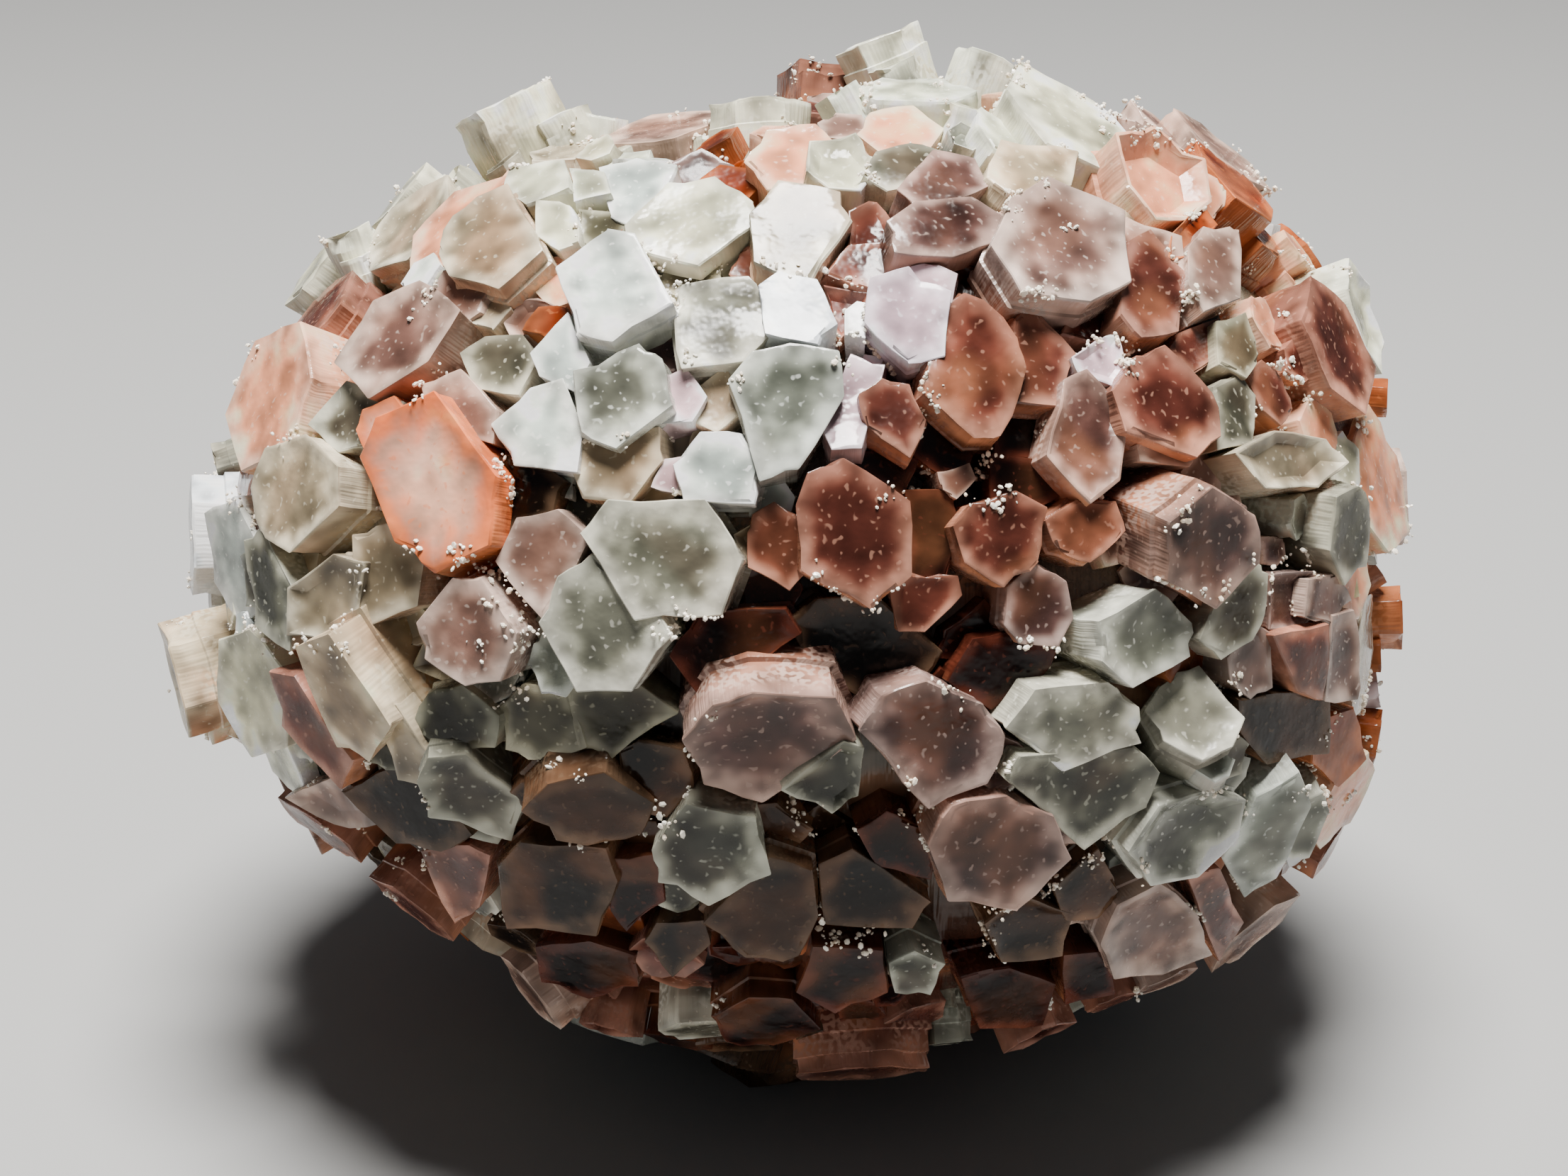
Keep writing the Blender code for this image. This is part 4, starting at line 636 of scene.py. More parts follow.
def middle_of(crystal):
    return sum(crystal["outline"], Vector()) / len(crystal["outline"])


def width_of(crystal):
    middle = middle_of(crystal)
    return 2.0 * sum((corner - middle).length for corner in crystal["outline"]) / len(crystal["outline"])


def region_tint(place, chance):
    """A tint for a crystal that the photograph doesn't show, from patches of red among the grey."""
    patch = noise.noise(place * RED_PATCH_RATE + Vector((3.1, 0.0, 1.7)))
    height = place.z / (2.0 * MIDDLE_HEIGHT)
    # Lower down, the darker tints: partly painted shade
    if patch > RED_PATCH_LEVEL:
        family = RED_LOW if height < 0.4 else RED_HIGH
    else:
        family = GREY_LOW if height < 0.3 else GREY_HIGH
    return chance.choice(family)


def filling_crystals(others, count, widths, lifts, spacing, chance):
    """Crystals set at random on the surface wherever the others leave room for one."""
    taken = [(middle_of(crystal), width_of(crystal)) for crystal in others]
    added = []
    for _ in range(count * FILLING_TRIES):
        if len(added) == count:
            break
        direction = Vector([chance.gauss(0.0, 1.0) for _ in range(3)]).normalized()
        width = chance.uniform(*widths)
        lift = chance.uniform(*lifts)
        turn = Vector([chance.gauss(0.0, 1.0) for _ in range(3)])
        lean = Vector([chance.gauss(0.0, LEAN) for _ in range(3)])
        place = MIDDLE + direction * reach(direction)
        if any((place - other).length < spacing * (width + wide) / 2 for other, wide in taken):
            continue
        axis = (growth_axis(place) + lean).normalized()
        middle = place + axis * lift
        outline = hexagon(middle, axis, turn, width, 1.0, chance)
        lowest = min(corner.z for corner in outline)
        if lowest < LEAST_HEIGHT:
            shift = axis * ((LEAST_HEIGHT - lowest) / max(0.3, -axis.z))
            outline = [corner - shift for corner in outline]
        taken.append((place, width))
        added.append({"outline": outline, "axis": axis, "body": BODY_LENGTH, "pit": 0.0})
    return added


def twin_crystals(crystals, chance):
    """Smaller crystals grown on beside others, parallel to them and ending a little lower."""
    twins = []
    for crystal in crystals:
        if chance.random() > TWIN_CHANCE:
            continue
        middle, offsets = outward_outline(crystal)
        width = width_of(crystal)
        corner = chance.randrange(len(offsets))
        between = (offsets[corner] + offsets[corner - 1]).normalized()
        aside = between * width * chance.uniform(*TWIN_ASIDE)
        lower = crystal["axis"] * chance.uniform(*TWIN_LOW)
        size = chance.uniform(*TWIN_WIDTH)
        start = middle + aside - lower
        outline = [start + offset * size * chance.uniform(*TWIN_UNEVEN) for offset in offsets]
        if min(place.z for place in outline) < TWIN_LEAST_HEIGHT:
            continue
        twins.append({**crystal, "outline": outline, "body": crystal["body"] * TWIN_BODY, "pit": 0.0})
    return twins


def select_nothing():
    """Leaves edit mode and deselects every object."""
    if bpy.context.mode != "OBJECT":
        bpy.ops.object.mode_set(mode="OBJECT")
    bpy.ops.object.select_all(action="DESELECT")


def edit_selection(piece, pick_faces=None, pick_edges=None):
    """In edit mode, selects the faces or the edges that a test picks."""
    shape = bmesh.from_edit_mesh(piece.data)
    for item in list(shape.verts) + list(shape.edges) + list(shape.faces):
        item.select = False
    if pick_faces is not None:
        for one in shape.faces:
            if pick_faces(one):
                one.select_set(True)
    if pick_edges is not None:
        for one in shape.edges:
            if pick_edges(one):
                one.select_set(True)
    bmesh.update_edit_mesh(piece.data)


def level_edge(edge, height=None):
    """Whether an edge lies level, and at a height where one is given."""
    first, last = (vertex.co.z for vertex in edge.verts)
    return abs(first - last) < 1e-5 and (height is None or abs(first - height) < 1e-4)


def corner_edge(edge):
    """Whether an edge runs down one of the blank's corners."""
    return not level_edge(edge) and edge.verts[0].co.xy.length > 0.999


def add_growth_maps(mesh):
    """Empty maps for the colours, the habit and the growth places of crystals."""
    for name in (*COLOUR_MAPS, "habit"):
        mesh.attributes.new(name=name, type="FLOAT_COLOR", domain="CORNER")
    while mesh.uv_layers:
        mesh.uv_layers.remove(mesh.uv_layers[0])
    for name in ("wall", "zone"):
        mesh.uv_layers.new(name=name)


def model_blank(corners):
    """A crystal of unit radius that stands on its root, its end face at height 0, modelled once for each
    number of corners: chamfered edges, rings on the end face and level cuts down its sides."""
    select_nothing()
    bpy.ops.mesh.primitive_cylinder_add(
        vertices=corners, radius=1.0, depth=BLANK_LENGTH, end_fill_type="NGON",
        location=(0.0, 0.0, -BLANK_LENGTH / 2),
    )
    blank = bpy.context.object
    blank.name = f"blank_{corners}"
    bpy.ops.object.transform_apply(location=True, rotation=True, scale=True)
    bpy.ops.object.mode_set(mode="EDIT")
    bpy.ops.mesh.select_mode(type="EDGE")
    edit_selection(blank, pick_edges=level_edge)
    bpy.ops.mesh.subdivide(number_cuts=BLANK_SIDE_CUTS)
    edit_selection(blank, pick_edges=lambda edge: level_edge(edge, 0.0) or corner_edge(edge))
    bpy.ops.mesh.bevel(offset=BLANK_CHAMFER, segments=1)
    for height in BLANK_CUTS:
        bpy.ops.mesh.select_all(action="SELECT")
        bpy.ops.mesh.bisect(plane_co=(0.0, 0.0, height), plane_no=(0.0, 0.0, 1.0))
    bpy.ops.mesh.select_mode(type="FACE")
    reached = 1.0
    for ring in BLANK_RINGS:
        edit_selection(blank, pick_faces=lambda one: one.normal.z > 0.99 and len(one.verts) > 4)
        bpy.ops.mesh.extrude_region_move()
        step = ring / reached
        bpy.ops.transform.resize(value=(step, step, 1.0), center_override=(0.0, 0.0, 0.0))
        reached = ring
    edit_selection(blank, pick_faces=lambda one: one.normal.z > 0.99 and len(one.verts) > 4)
    bpy.ops.mesh.poke()
    bpy.ops.object.mode_set(mode="OBJECT")
    add_growth_maps(blank.data)
    return blank


def measure_blank(blank, corners):
    """Where each of the blank's points lies between its middle and two neighbouring corners."""
    mesh = blank.data
    points = np.empty(len(mesh.vertices) * 3)
    mesh.vertices.foreach_get("co", points)
    points = points.reshape(-1, 3)
    step = 2.0 * math.pi / corners
    start = math.pi / 2
    turn = np.mod(np.arctan2(points[:, 1], points[:, 0]) - start + 1e-7, 2.0 * math.pi) / step
    first = np.floor(turn).astype(int) % corners
    second = (first + 1) % corners
    angles = start + step * np.arange(corners)
    ring = np.stack([np.cos(angles), np.sin(angles)], axis=1)
    one = ring[first]
    two = ring[second]
    area = one[:, 0] * two[:, 1] - one[:, 1] * two[:, 0]
    to_one = (points[:, 0] * two[:, 1] - points[:, 1] * two[:, 0]) / area
    to_two = (one[:, 0] * points[:, 1] - one[:, 1] * points[:, 0]) / area
    share = to_one + to_two
    around = first + to_two / np.maximum(share, 1e-6)
    corner_points = np.empty(len(mesh.loops), dtype=np.int32)
    mesh.loops.foreach_get("vertex_index", corner_points)
    on_end = np.zeros(len(mesh.loops), dtype=bool)
    along = np.zeros(len(mesh.loops))
    for polygon in mesh.polygons:
        loops = list(polygon.loop_indices)
        here = corner_points[loops]
        centre = np.mean(points[here], axis=0)
        on_end[loops] = polygon.normal.z > 0.9
        middle_turn = np.mod(math.atan2(centre[1], centre[0]) - start, 2.0 * math.pi) / step
        along[loops] = middle_turn + np.mod(around[here] - middle_turn + corners / 2, corners) - corners / 2
    return {
        "mesh": mesh, "first": first, "second": second, "to_one": to_one, "to_two": to_two,
        "share": share, "depth": -points[:, 2] / BLANK_LENGTH, "loops": corner_points,
        "on_end": on_end, "along": along,
    }


def outward_outline(crystal):
    """The outline's corners anticlockwise about the axis, as offsets from their middle."""
    middle = middle_of(crystal)
    offsets = [corner - middle for corner in crystal["outline"]]
    turned = sum((offsets[n - 1].cross(offsets[n]) for n in range(len(offsets))), Vector())
    if turned.dot(crystal["axis"]) < 0.0:
        offsets.reverse()
    return middle, offsets


def grow_crystal(number, crystal, blanks):
    """One crystal: a copy of the blank drawn out to its outline, with ledges, a dish and worn edges."""
    chance = np.random.default_rng(1000 + number)
    blank = blanks[len(crystal["outline"])]
    middle, offsets = outward_outline(crystal)
    ring = np.array([list(offset) for offset in offsets])
    axis = np.array(list(crystal["axis"]))
    width = width_of(crystal)
    share = blank["share"]
    bend = chance.uniform(*BEND)
    depth = crystal["body"] * blank["depth"] ** bend
    ledge = chance.uniform(0.0, LEDGE_MOST, 2) * (chance.random(2) < LEDGE_CHANCE)
    swell = 1.0 - (1.0 - BODY_TAPER) * blank["depth"]
    for cut, size in zip(LEDGE_CUTS, ledge):
        swell = swell + size * (blank["depth"] > cut / BLANK_LENGTH)
    flat = ring[blank["first"]] * blank["to_one"][:, None] + ring[blank["second"]] * blank["to_two"][:, None]
    hollow = chance.random() < DEEP_DISH_CHANCE
    dish = chance.uniform(*(DEEP_DISH if hollow else DISH)) + crystal["pit"]
    sunk = dish * np.clip((DISH_RIM - share) / 0.25, 0.0, 1.0) * (blank["depth"] < 1e-4)
    spots = np.array(list(middle)) + flat * swell[:, None] - axis * (depth + sunk)[:, None]
    rough = np.empty_like(spots)
    chip = np.empty(len(spots))
    for index, spot in enumerate(spots):
        rough[index] = noise.noise_vector(Vector(spot) * WOBBLE_RATE)
        chip[index] = noise.noise(Vector(spot) * CHIP_RATE + Vector((7.7, 1.3, number)))
    spots += rough * WOBBLE
    worn = np.clip((share - 0.86) / 0.08, 0.0, 1.0) * np.clip(1.4 - depth, 0.0, 1.0)
    spots -= (np.clip(chip - CHIP_LEVEL, 0.0, 1.0) * CHIP * worn)[:, None] * (0.7 * axis + 2.2 * flat / width)
    spots[:, 2] = np.maximum(spots[:, 2], 0.0)
    mesh = blank["mesh"].copy()
    mesh.name = f"crystal_{number:03d}"
    mesh.vertices.foreach_set("co", (spots * MM).ravel())
    write_growth_maps(mesh, blank, crystal, depth, flat, width, number, chance)
    return mesh


def write_growth_maps(mesh, blank, crystal, depth, flat, width, number, chance):
    """The crystal's tint, and where each corner of a face lies on it: along its walls and in from its rim."""
    loops = blank["loops"]
    _, body, core, edge, stain, cloud = TINTS[crystal["tint"]]
    shade = chance.uniform(*SHADE)
    warm = chance.uniform(-WARMTH, WARMTH)
    tone = np.array([1.0 + warm, 1.0, 1.0 - warm]) * shade
    count = len(loops)
    for name, colour in zip(COLOUR_MAPS, (body, core, edge)):
        tinted = np.minimum(np.array(colour) * tone, 0.97)
        mesh.attributes[name].data.foreach_set("color", np.tile([*tinted, 1.0], count))
    # How low each spot of the rim lies, because light that fell in from above leaves by the low side
    downward = Vector((0.0, 0.0, -1.0))
    axis = Vector(crystal["axis"])
    downward -= axis * downward.dot(axis)
    low = flat @ np.array(list(downward)) / (width / 2)
    # Share of stain, a number of the crystal's own, cloudiness, how low the spot lies
    habit = np.empty((count, 4))
    habit[:, 0] = min(1.0, stain * chance.uniform(*STAIN_SPREAD))
    habit[:, 1] = chance.random()
    habit[:, 2] = min(1.0, cloud * chance.uniform(*CLOUD_SPREAD))
    habit[:, 3] = np.clip(0.5 + 0.5 * low, 0.0, 1.0)[loops]
    mesh.attributes["habit"].data.foreach_set("color", habit.ravel())
    side_length = width * math.sin(math.pi / len(crystal["outline"]))
    sideways = Vector(flat[0])
    sideways.normalize()
    across = np.array(list(sideways))
    upward = np.cross(np.array(list(crystal["axis"])), across)
    wall = np.stack([blank["along"] * side_length + number * 3.7, depth[loops]], axis=1)
    end = np.stack([flat[loops] @ across + number * 3.7, flat[loops] @ upward], axis=1)
    wall[blank["on_end"]] = end[blank["on_end"]]
    mesh.uv_layers["wall"].data.foreach_set("uv", wall.ravel())
    share = np.where(blank["on_end"], np.minimum(blank["share"][loops], 1.0), 1.0)
    zone = np.stack([share, depth[loops]], axis=1)
    mesh.uv_layers["zone"].data.foreach_set("uv", zone.ravel())


def model_inner_mass():
    """The rounded body under the crystals, which shows only deep between them."""
    select_nothing()
    bpy.ops.mesh.primitive_ico_sphere_add(subdivisions=4, radius=1.0, location=(0.0, 0.0, 0.0))
    mass = bpy.context.object
    mesh = mass.data
    for vertex in mesh.vertices:
        direction = vertex.co.normalized()
        bump = noise.noise(direction * 6.0) * 0.03 + noise.noise(direction * 17.0) * 0.014
        vertex.co = (MIDDLE + direction * reach(direction) * (MASS_SHARE + bump)) * MM
    add_growth_maps(mesh)
    for loop in mesh.loops:
        place = mesh.vertices[loop.vertex_index].co / MM
        red = red_share(place)
        # Paler high up and darker low down: painted shade, as the light falls from above
        high = max(0.0, min(1.0, (place.z - 16.0) / 20.0))
        colour = [(pale * high + dark * (1.0 - high)) * (1.0 - red) + rust * red
                  for pale, dark, rust in zip(MASS_PALE, MASS_DARK, MASS_RED)]
        for name in COLOUR_MAPS:
            mesh.attributes[name].data[loop.index].color = (*colour, 1.0)
        mesh.attributes["habit"].data[loop.index].color = (0.3, 0.5, 0.3, 0.5)
        mesh.uv_layers["wall"].data[loop.index].uv = (place.x, place.z)
        mesh.uv_layers["zone"].data[loop.index].uv = (1.0, 3.2)
    return mass


def red_share(place):
    """How red the ground between the crystals is at a place, from 0 to 1."""
    offset = place - MIDDLE
    toward = offset.dot(TOWARD)
    across = offset.dot(ACROSS)
    upward = offset.dot(UPWARD)
    front = math.exp(-(((across - RED_ACROSS) / 11.0) ** 2 + ((upward - RED_UPWARD) / 11.0) ** 2))
    low = max(0.0, min(1.0, (-12.0 - upward) / 10.0))
    patch = max(0.0, min(1.0, (noise.noise(place * RED_PATCH_RATE + Vector((3.1, 0.0, 1.7)))
                              - RED_PATCH_LEVEL) * 6.0 + 0.5))
    return max(front, low) if toward > 8.0 else max(low, patch)


def join_group(name, start, meshes):
    """All the crystals of one finish grown into one closed skin."""
    others = bpy.data.collections.new(name + "_crystals")
    bpy.context.scene.collection.children.link(others)
    for mesh in meshes:
        crystal = bpy.data.objects.new(mesh.name, mesh)
        others.objects.link(crystal)
    start.name = name
    start.data.name = name
    union = start.modifiers.new("Grown together", "BOOLEAN")
    union.operation = "UNION"
    union.solver = "MANIFOLD"
    union.operand_type = "COLLECTION"
    union.collection = others
    select_nothing()
    bpy.context.view_layer.objects.active = start
    start.select_set(True)
    bpy.ops.object.modifier_apply(modifier=union.name)
    for crystal in list(others.objects):
        mesh = crystal.data
        bpy.data.objects.remove(crystal)
        bpy.data.meshes.remove(mesh)
    bpy.data.collections.remove(others)
    bpy.ops.object.shade_smooth_by_angle(angle=math.radians(SMOOTH_DEG))
    return start


def add_node(tree, kind, **settings):
    node = tree.nodes.new(kind)
    for name, value in settings.items():
        setattr(node, name, value)
    return node


def feed(tree, value, socket):
    """Joins an output to a socket, or sets the socket's value."""
    if isinstance(value, bpy.types.NodeSocket):
        tree.links.new(value, socket)
    elif isinstance(value, tuple) and socket.type == "RGBA":
        socket.default_value = (*value, 1.0)
    else:
        socket.default_value = value


def reckon(tree, operation, first, second=0.0, third=0.0):
    node = add_node(tree, "ShaderNodeMath", operation=operation)
    for socket, value in zip(node.inputs, (first, second, third)):
        feed(tree, value, socket)
    return node.outputs[0]


def rise(tree, value, low, high):
    """From 0 below low to 1 above high, eased."""
    node = add_node(tree, "ShaderNodeMapRange", interpolation_type="SMOOTHSTEP")
    feed(tree, value, node.inputs["Value"])
    node.inputs["From Min"].default_value = low
    node.inputs["From Max"].default_value = high
    return node.outputs["Result"]


def blend_colour(tree, share, first, second, kind="MIX"):
    node = add_node(tree, "ShaderNodeMix", data_type="RGBA", blend_type=kind)
    feed(tree, share, node.inputs["Factor"])
    feed(tree, first, node.inputs[6])
    feed(tree, second, node.inputs[7])
    return node.outputs[2]


def speckle(tree, place, scale, detail=2.0, roughness=0.5, flat=False):
    node = add_node(tree, "ShaderNodeTexNoise", noise_dimensions="2D" if flat else "3D")
    feed(tree, place, node.inputs["Vector"])
    node.inputs["Scale"].default_value = scale
    node.inputs["Detail"].default_value = detail
    node.inputs["Roughness"].default_value = roughness
    return node.outputs["Fac"]


def growth_group():
    """Colour zones, painted rim light and glow, painted shade deep in the gaps, stains, cloudiness and wall
    lines of a crystal, from its tint and growth maps.
    """
    tree = bpy.data.node_groups.new("crystal growth", "ShaderNodeTree")
    sockets = tree.interface
    # Inputs: share of painted rim light, stain colour that also paints the glow, colour and depth of painted
    # shade, roughness range
    for name, kind, value in (
        ("Rim Light", "NodeSocketFloat", 0.5),
        ("Stain And Painted Glow", "NodeSocketColor", (0.74, 0.29, 0.13, 1.0)),
        ("Painted Shade Colour", "NodeSocketColor", (0.40, 0.30, 0.20, 1.0)),
        ("Painted Shade Depth", "NodeSocketFloat", 5.5),
        ("Smooth", "NodeSocketFloat", 0.25),
        ("Rough", "NodeSocketFloat", 0.5),
    ):
        sockets.new_socket(name, in_out="INPUT", socket_type=kind).default_value = value
    for name, kind in (("Color", "NodeSocketColor"), ("Roughness", "NodeSocketFloat"),
                       ("Height", "NodeSocketFloat"), ("Shine", "NodeSocketFloat")):
        sockets.new_socket(name, in_out="OUTPUT", socket_type=kind)
    given = add_node(tree, "NodeGroupInput").outputs
    result = add_node(tree, "NodeGroupOutput").inputs
    tint, core, edge = (add_node(tree, "ShaderNodeAttribute", attribute_name=name).outputs["Color"]
                        for name in COLOUR_MAPS)
    habit_map = add_node(tree, "ShaderNodeAttribute", attribute_name="habit")
    low_side = habit_map.outputs["Alpha"]
    habit = add_node(tree, "ShaderNodeSeparateColor")
    tree.links.new(habit_map.outputs["Color"], habit.inputs[0])
    stain_share, _, cloud_share = habit.outputs[:3]
    zone = add_node(tree, "ShaderNodeSeparateXYZ")
    tree.links.new(add_node(tree, "ShaderNodeUVMap", uv_map="zone").outputs[0], zone.inputs[0])
    share, depth = zone.outputs[0], zone.outputs[1]
    wall = add_node(tree, "ShaderNodeUVMap", uv_map="wall").outputs[0]
    place = add_node(tree, "ShaderNodeTexCoord").outputs["Object"]

    broad = speckle(tree, place, 300.0, 0.0)
    cloud = speckle(tree, place, 640.0, 1.0, 0.55)
    patchy = speckle(tree, place, 240.0, 0.0)
    fine = speckle(tree, place, 3600.0, 0.0)
    wander = reckon(tree, "MULTIPLY_ADD", cloud, 1.1, -0.55)
    near_end = reckon(tree, "SUBTRACT", 1.0, rise(tree, depth, 0.4, 3.4))
    inner = rise(tree, reckon(tree, "ADD", share, wander), 0.30, 1.02)
    cloudy = reckon(tree, "MULTIPLY", reckon(tree, "SUBTRACT", 1.0, inner), cloud_share)
    colour = blend_colour(tree, cloudy, tint, core)
    # Painted rim light: near the rim the colour blends to the edge colour, more on the low side where light
    # that fell in from above leaves
    lit = reckon(tree, "MULTIPLY_ADD", rise(tree, low_side, 0.2, 0.9), 0.55, 0.45)
    rim = rise(tree, reckon(tree, "MULTIPLY_ADD", wander, 0.45, share), 0.60, 1.02)
    rim = reckon(tree, "MULTIPLY", reckon(tree, "MULTIPLY", rim, near_end), lit)
    colour = blend_colour(tree, reckon(tree, "MULTIPLY", rim, given["Rim Light"]), colour, edge)
    low_down = reckon(tree, "MULTIPLY_ADD", rise(tree, depth, 0.2, 2.2), 0.7, 0.3)
    stained = reckon(tree, "MULTIPLY", rise(tree, patchy, 0.44, 0.62), low_down)
    stained = reckon(tree, "MULTIPLY", stained, stain_share)
    on_wall = rise(tree, depth, 0.05, 0.25)
    # Painted glow: walls near the end, on their low side, lit from within, coloured like the stain in rusty
    # crystals
    painted_glow = reckon(tree, "MULTIPLY", on_wall, near_end)
    painted_glow = reckon(tree, "MULTIPLY", painted_glow, rise(tree, low_side, 0.45, 1.0))
    rusty = reckon(tree, "MINIMUM", reckon(tree, "MULTIPLY", stain_share, 2.4), 0.8)
    painted_glow = reckon(tree, "MULTIPLY", painted_glow, rusty)
    colour = blend_colour(tree, reckon(tree, "MAXIMUM", stained, painted_glow), colour, given["Stain And Painted Glow"])
    tone = reckon(tree, "MULTIPLY_ADD", cloud, 2.0, 0.05)
    broad_tone = reckon(tree, "MULTIPLY_ADD", broad, 1.0, 0.5)
    toned = add_node(tree, "ShaderNodeVectorMath", operation="SCALE")
    tree.links.new(colour, toned.inputs[0])
    tree.links.new(reckon(tree, "MULTIPLY", tone, broad_tone), toned.inputs["Scale"])
    colour = toned.outputs[0]
    frosting = reckon(tree, "MULTIPLY", rise(tree, fine, 0.68, 0.80), 0.45)
    crust = reckon(tree, "MULTIPLY", rise(tree, broad, 0.46, 0.60), rise(tree, depth, 0.35, 1.3))
    crust = reckon(tree, "MULTIPLY", crust, rise(tree, fine, 0.40, 0.56))
    frosting = reckon(tree, "MAXIMUM", frosting, reckon(tree, "MULTIPLY", crust, 0.85))
    colour = blend_colour(tree, frosting, colour, edge)
    # Painted shade: deeper down the walls, between the crystals, the colour is multiplied darker
    deep = reckon(tree, "DIVIDE", depth, given["Painted Shade Depth"])
    shaded_colour = blend_colour(tree, 1.0, colour, given["Painted Shade Colour"], "MULTIPLY")
    colour = blend_colour(tree, reckon(tree, "MULTIPLY", rise(tree, deep, 0.25, 1.0), 0.9), colour, shaded_colour)
    kept = add_node(tree, "ShaderNodeVectorMath", operation="MINIMUM")
    tree.links.new(colour, kept.inputs[0])
    kept.inputs[1].default_value = (MOST_BRIGHT, MOST_BRIGHT, MOST_BRIGHT)
    tree.links.new(kept.outputs[0], result["Color"])

    stretched = add_node(tree, "ShaderNodeMapping")
    tree.links.new(wall, stretched.inputs["Vector"])
    stretched.inputs["Scale"].default_value = (3.2, 0.16, 1.0)
    lines = speckle(tree, stretched.outputs[0], 1.2, 1.0, 0.65, flat=True)
    crossed = add_node(tree, "ShaderNodeMapping")
    tree.links.new(wall, crossed.inputs["Vector"])
    crossed.inputs["Scale"].default_value = (0.25, 2.2, 1.0)
    steps = speckle(tree, crossed.outputs[0], 1.0, 0.0, flat=True)
    wall_height = reckon(tree, "MULTIPLY_ADD", steps, 0.35, lines)
    hillocks = speckle(tree, wall, 1.1, 0.0, flat=True)
    end_height = reckon(tree, "MULTIPLY_ADD", fine, 0.22, reckon(tree, "MULTIPLY", hillocks, 0.55))
    height = add_node(tree, "ShaderNodeMix", data_type="FLOAT")
    feed(tree, on_wall, height.inputs[0])
    feed(tree, end_height, height.inputs[2])
    feed(tree, wall_height, height.inputs[3])
    tree.links.new(height.outputs[0], result["Height"])

    span = reckon(tree, "SUBTRACT", given["Rough"], given["Smooth"])
    dull = reckon(tree, "ADD", reckon(tree, "MULTIPLY", rise(tree, broad, 0.3, 0.75), 0.65),
                  reckon(tree, "MULTIPLY", rise(tree, fine, 0.4, 0.8), 0.35))
    tree.links.new(reckon(tree, "MULTIPLY_ADD", dull, span, given["Smooth"]), result["Roughness"])
    # The darker the tint, the less the crystal shines, so that the tints darkened with painted shade stay
    # dark
    depth_of_tint = add_node(tree, "ShaderNodeSeparateColor")
    tree.links.new(tint, depth_of_tint.inputs[0])
    tint_lightness = rise(tree, depth_of_tint.outputs[0], 0.01, 0.22)
    tree.links.new(reckon(tree, "MULTIPLY_ADD", tint_lightness, 0.11, 0.04), result["Shine"])
    return tree


def crystal_material(name, growth, values):
    """A material whose colour, roughness and relief come from the growth group."""
    material = bpy.data.materials.new(name)
    material.use_nodes = True
    tree = material.node_tree
    shader = tree.nodes["Principled BSDF"]
    group = add_node(tree, "ShaderNodeGroup", node_tree=growth)
    for socket, value in values.items():
        feed(tree, value, group.inputs[socket])
    relief = add_node(tree, "ShaderNodeBump")
    relief.inputs["Strength"].default_value = 0.20
    relief.inputs["Distance"].default_value = RELIEF_DEPTH * MM
    tree.links.new(group.outputs["Height"], relief.inputs["Height"])
    # From inside, a face lets out more of the light than it sends back
    inside = add_node(tree, "ShaderNodeNewGeometry").outputs["Backfacing"]
    colour = blend_colour(tree, reckon(tree, "MULTIPLY", inside, 0.8), group.outputs["Color"],
                          (0.0, 0.0, 0.0))
    tree.links.new(colour, shader.inputs["Base Color"])
    tree.links.new(group.outputs["Roughness"], shader.inputs["Roughness"])
    tree.links.new(relief.outputs["Normal"], shader.inputs["Normal"])
    shader.inputs["IOR"].default_value = 1.6
    tree.links.new(group.outputs["Shine"], shader.inputs["Specular IOR Level"])
    return material, shader


def see_through(material, shader, share, colour, density):
    """Lets light into the crystal, dimmed and coloured by the depth that it passes."""
    shader.inputs["Transmission Weight"].default_value = share
    tree = material.node_tree
    absorb = add_node(tree, "ShaderNodeVolumeAbsorption")
    absorb.inputs["Color"].default_value = (*colour, 1.0)
    absorb.inputs["Density"].default_value = density
    tree.links.new(absorb.outputs[0], tree.nodes["Material Output"].inputs["Volume"])
    return material


def green_finish(growth):
    """Hazy greenish-white crystal."""
    # The darkening colour and depth here paint shade deep between the crystals, and the rim share paints rim
    # light
    material, shader = crystal_material("pale aragonite", growth, {
        "Rim Light": 0.8, "Painted Shade Colour": (0.72, 0.65, 0.50), "Painted Shade Depth": 6.5,
        "Smooth": 0.10, "Rough": 0.32})
    return see_through(material, shader, 0.28, (0.78, 0.80, 0.66), 280.0)


def red_finish(growth):
    """Hazy crystal, red-brown to pink."""
    # The darkening colour and depth here paint shade deep between the crystals, and the rim share paints rim
    # light
    material, shader = crystal_material("red aragonite", growth, {
        "Rim Light": 0.8, "Painted Shade Colour": (0.60, 0.42, 0.32), "Painted Shade Depth": 6.5,
        "Smooth": 0.10, "Rough": 0.32})
    return see_through(material, shader, 0.29, (0.78, 0.40, 0.28), 350.0)


def grain_finish():
    """Sugary cream-white grains, some with a touch of rust."""
    material = bpy.data.materials.new("sugar grains")
    material.use_nodes = True
    tree = material.node_tree
    shader = tree.nodes["Principled BSDF"]
    place = add_node(tree, "ShaderNodeTexCoord").outputs["Object"]
    patchy = speckle(tree, place, 900.0, 2.0)
    colour = blend_colour(tree, rise(tree, patchy, 0.35, 0.7), (0.86, 0.82, 0.72), (0.80, 0.66, 0.50))
    tree.links.new(colour, shader.inputs["Base Color"])
    tree.links.new(reckon(tree, "MULTIPLY_ADD", patchy, 0.3, 0.1), shader.inputs["Roughness"])
    shader.inputs["IOR"].default_value = 1.6
    return material


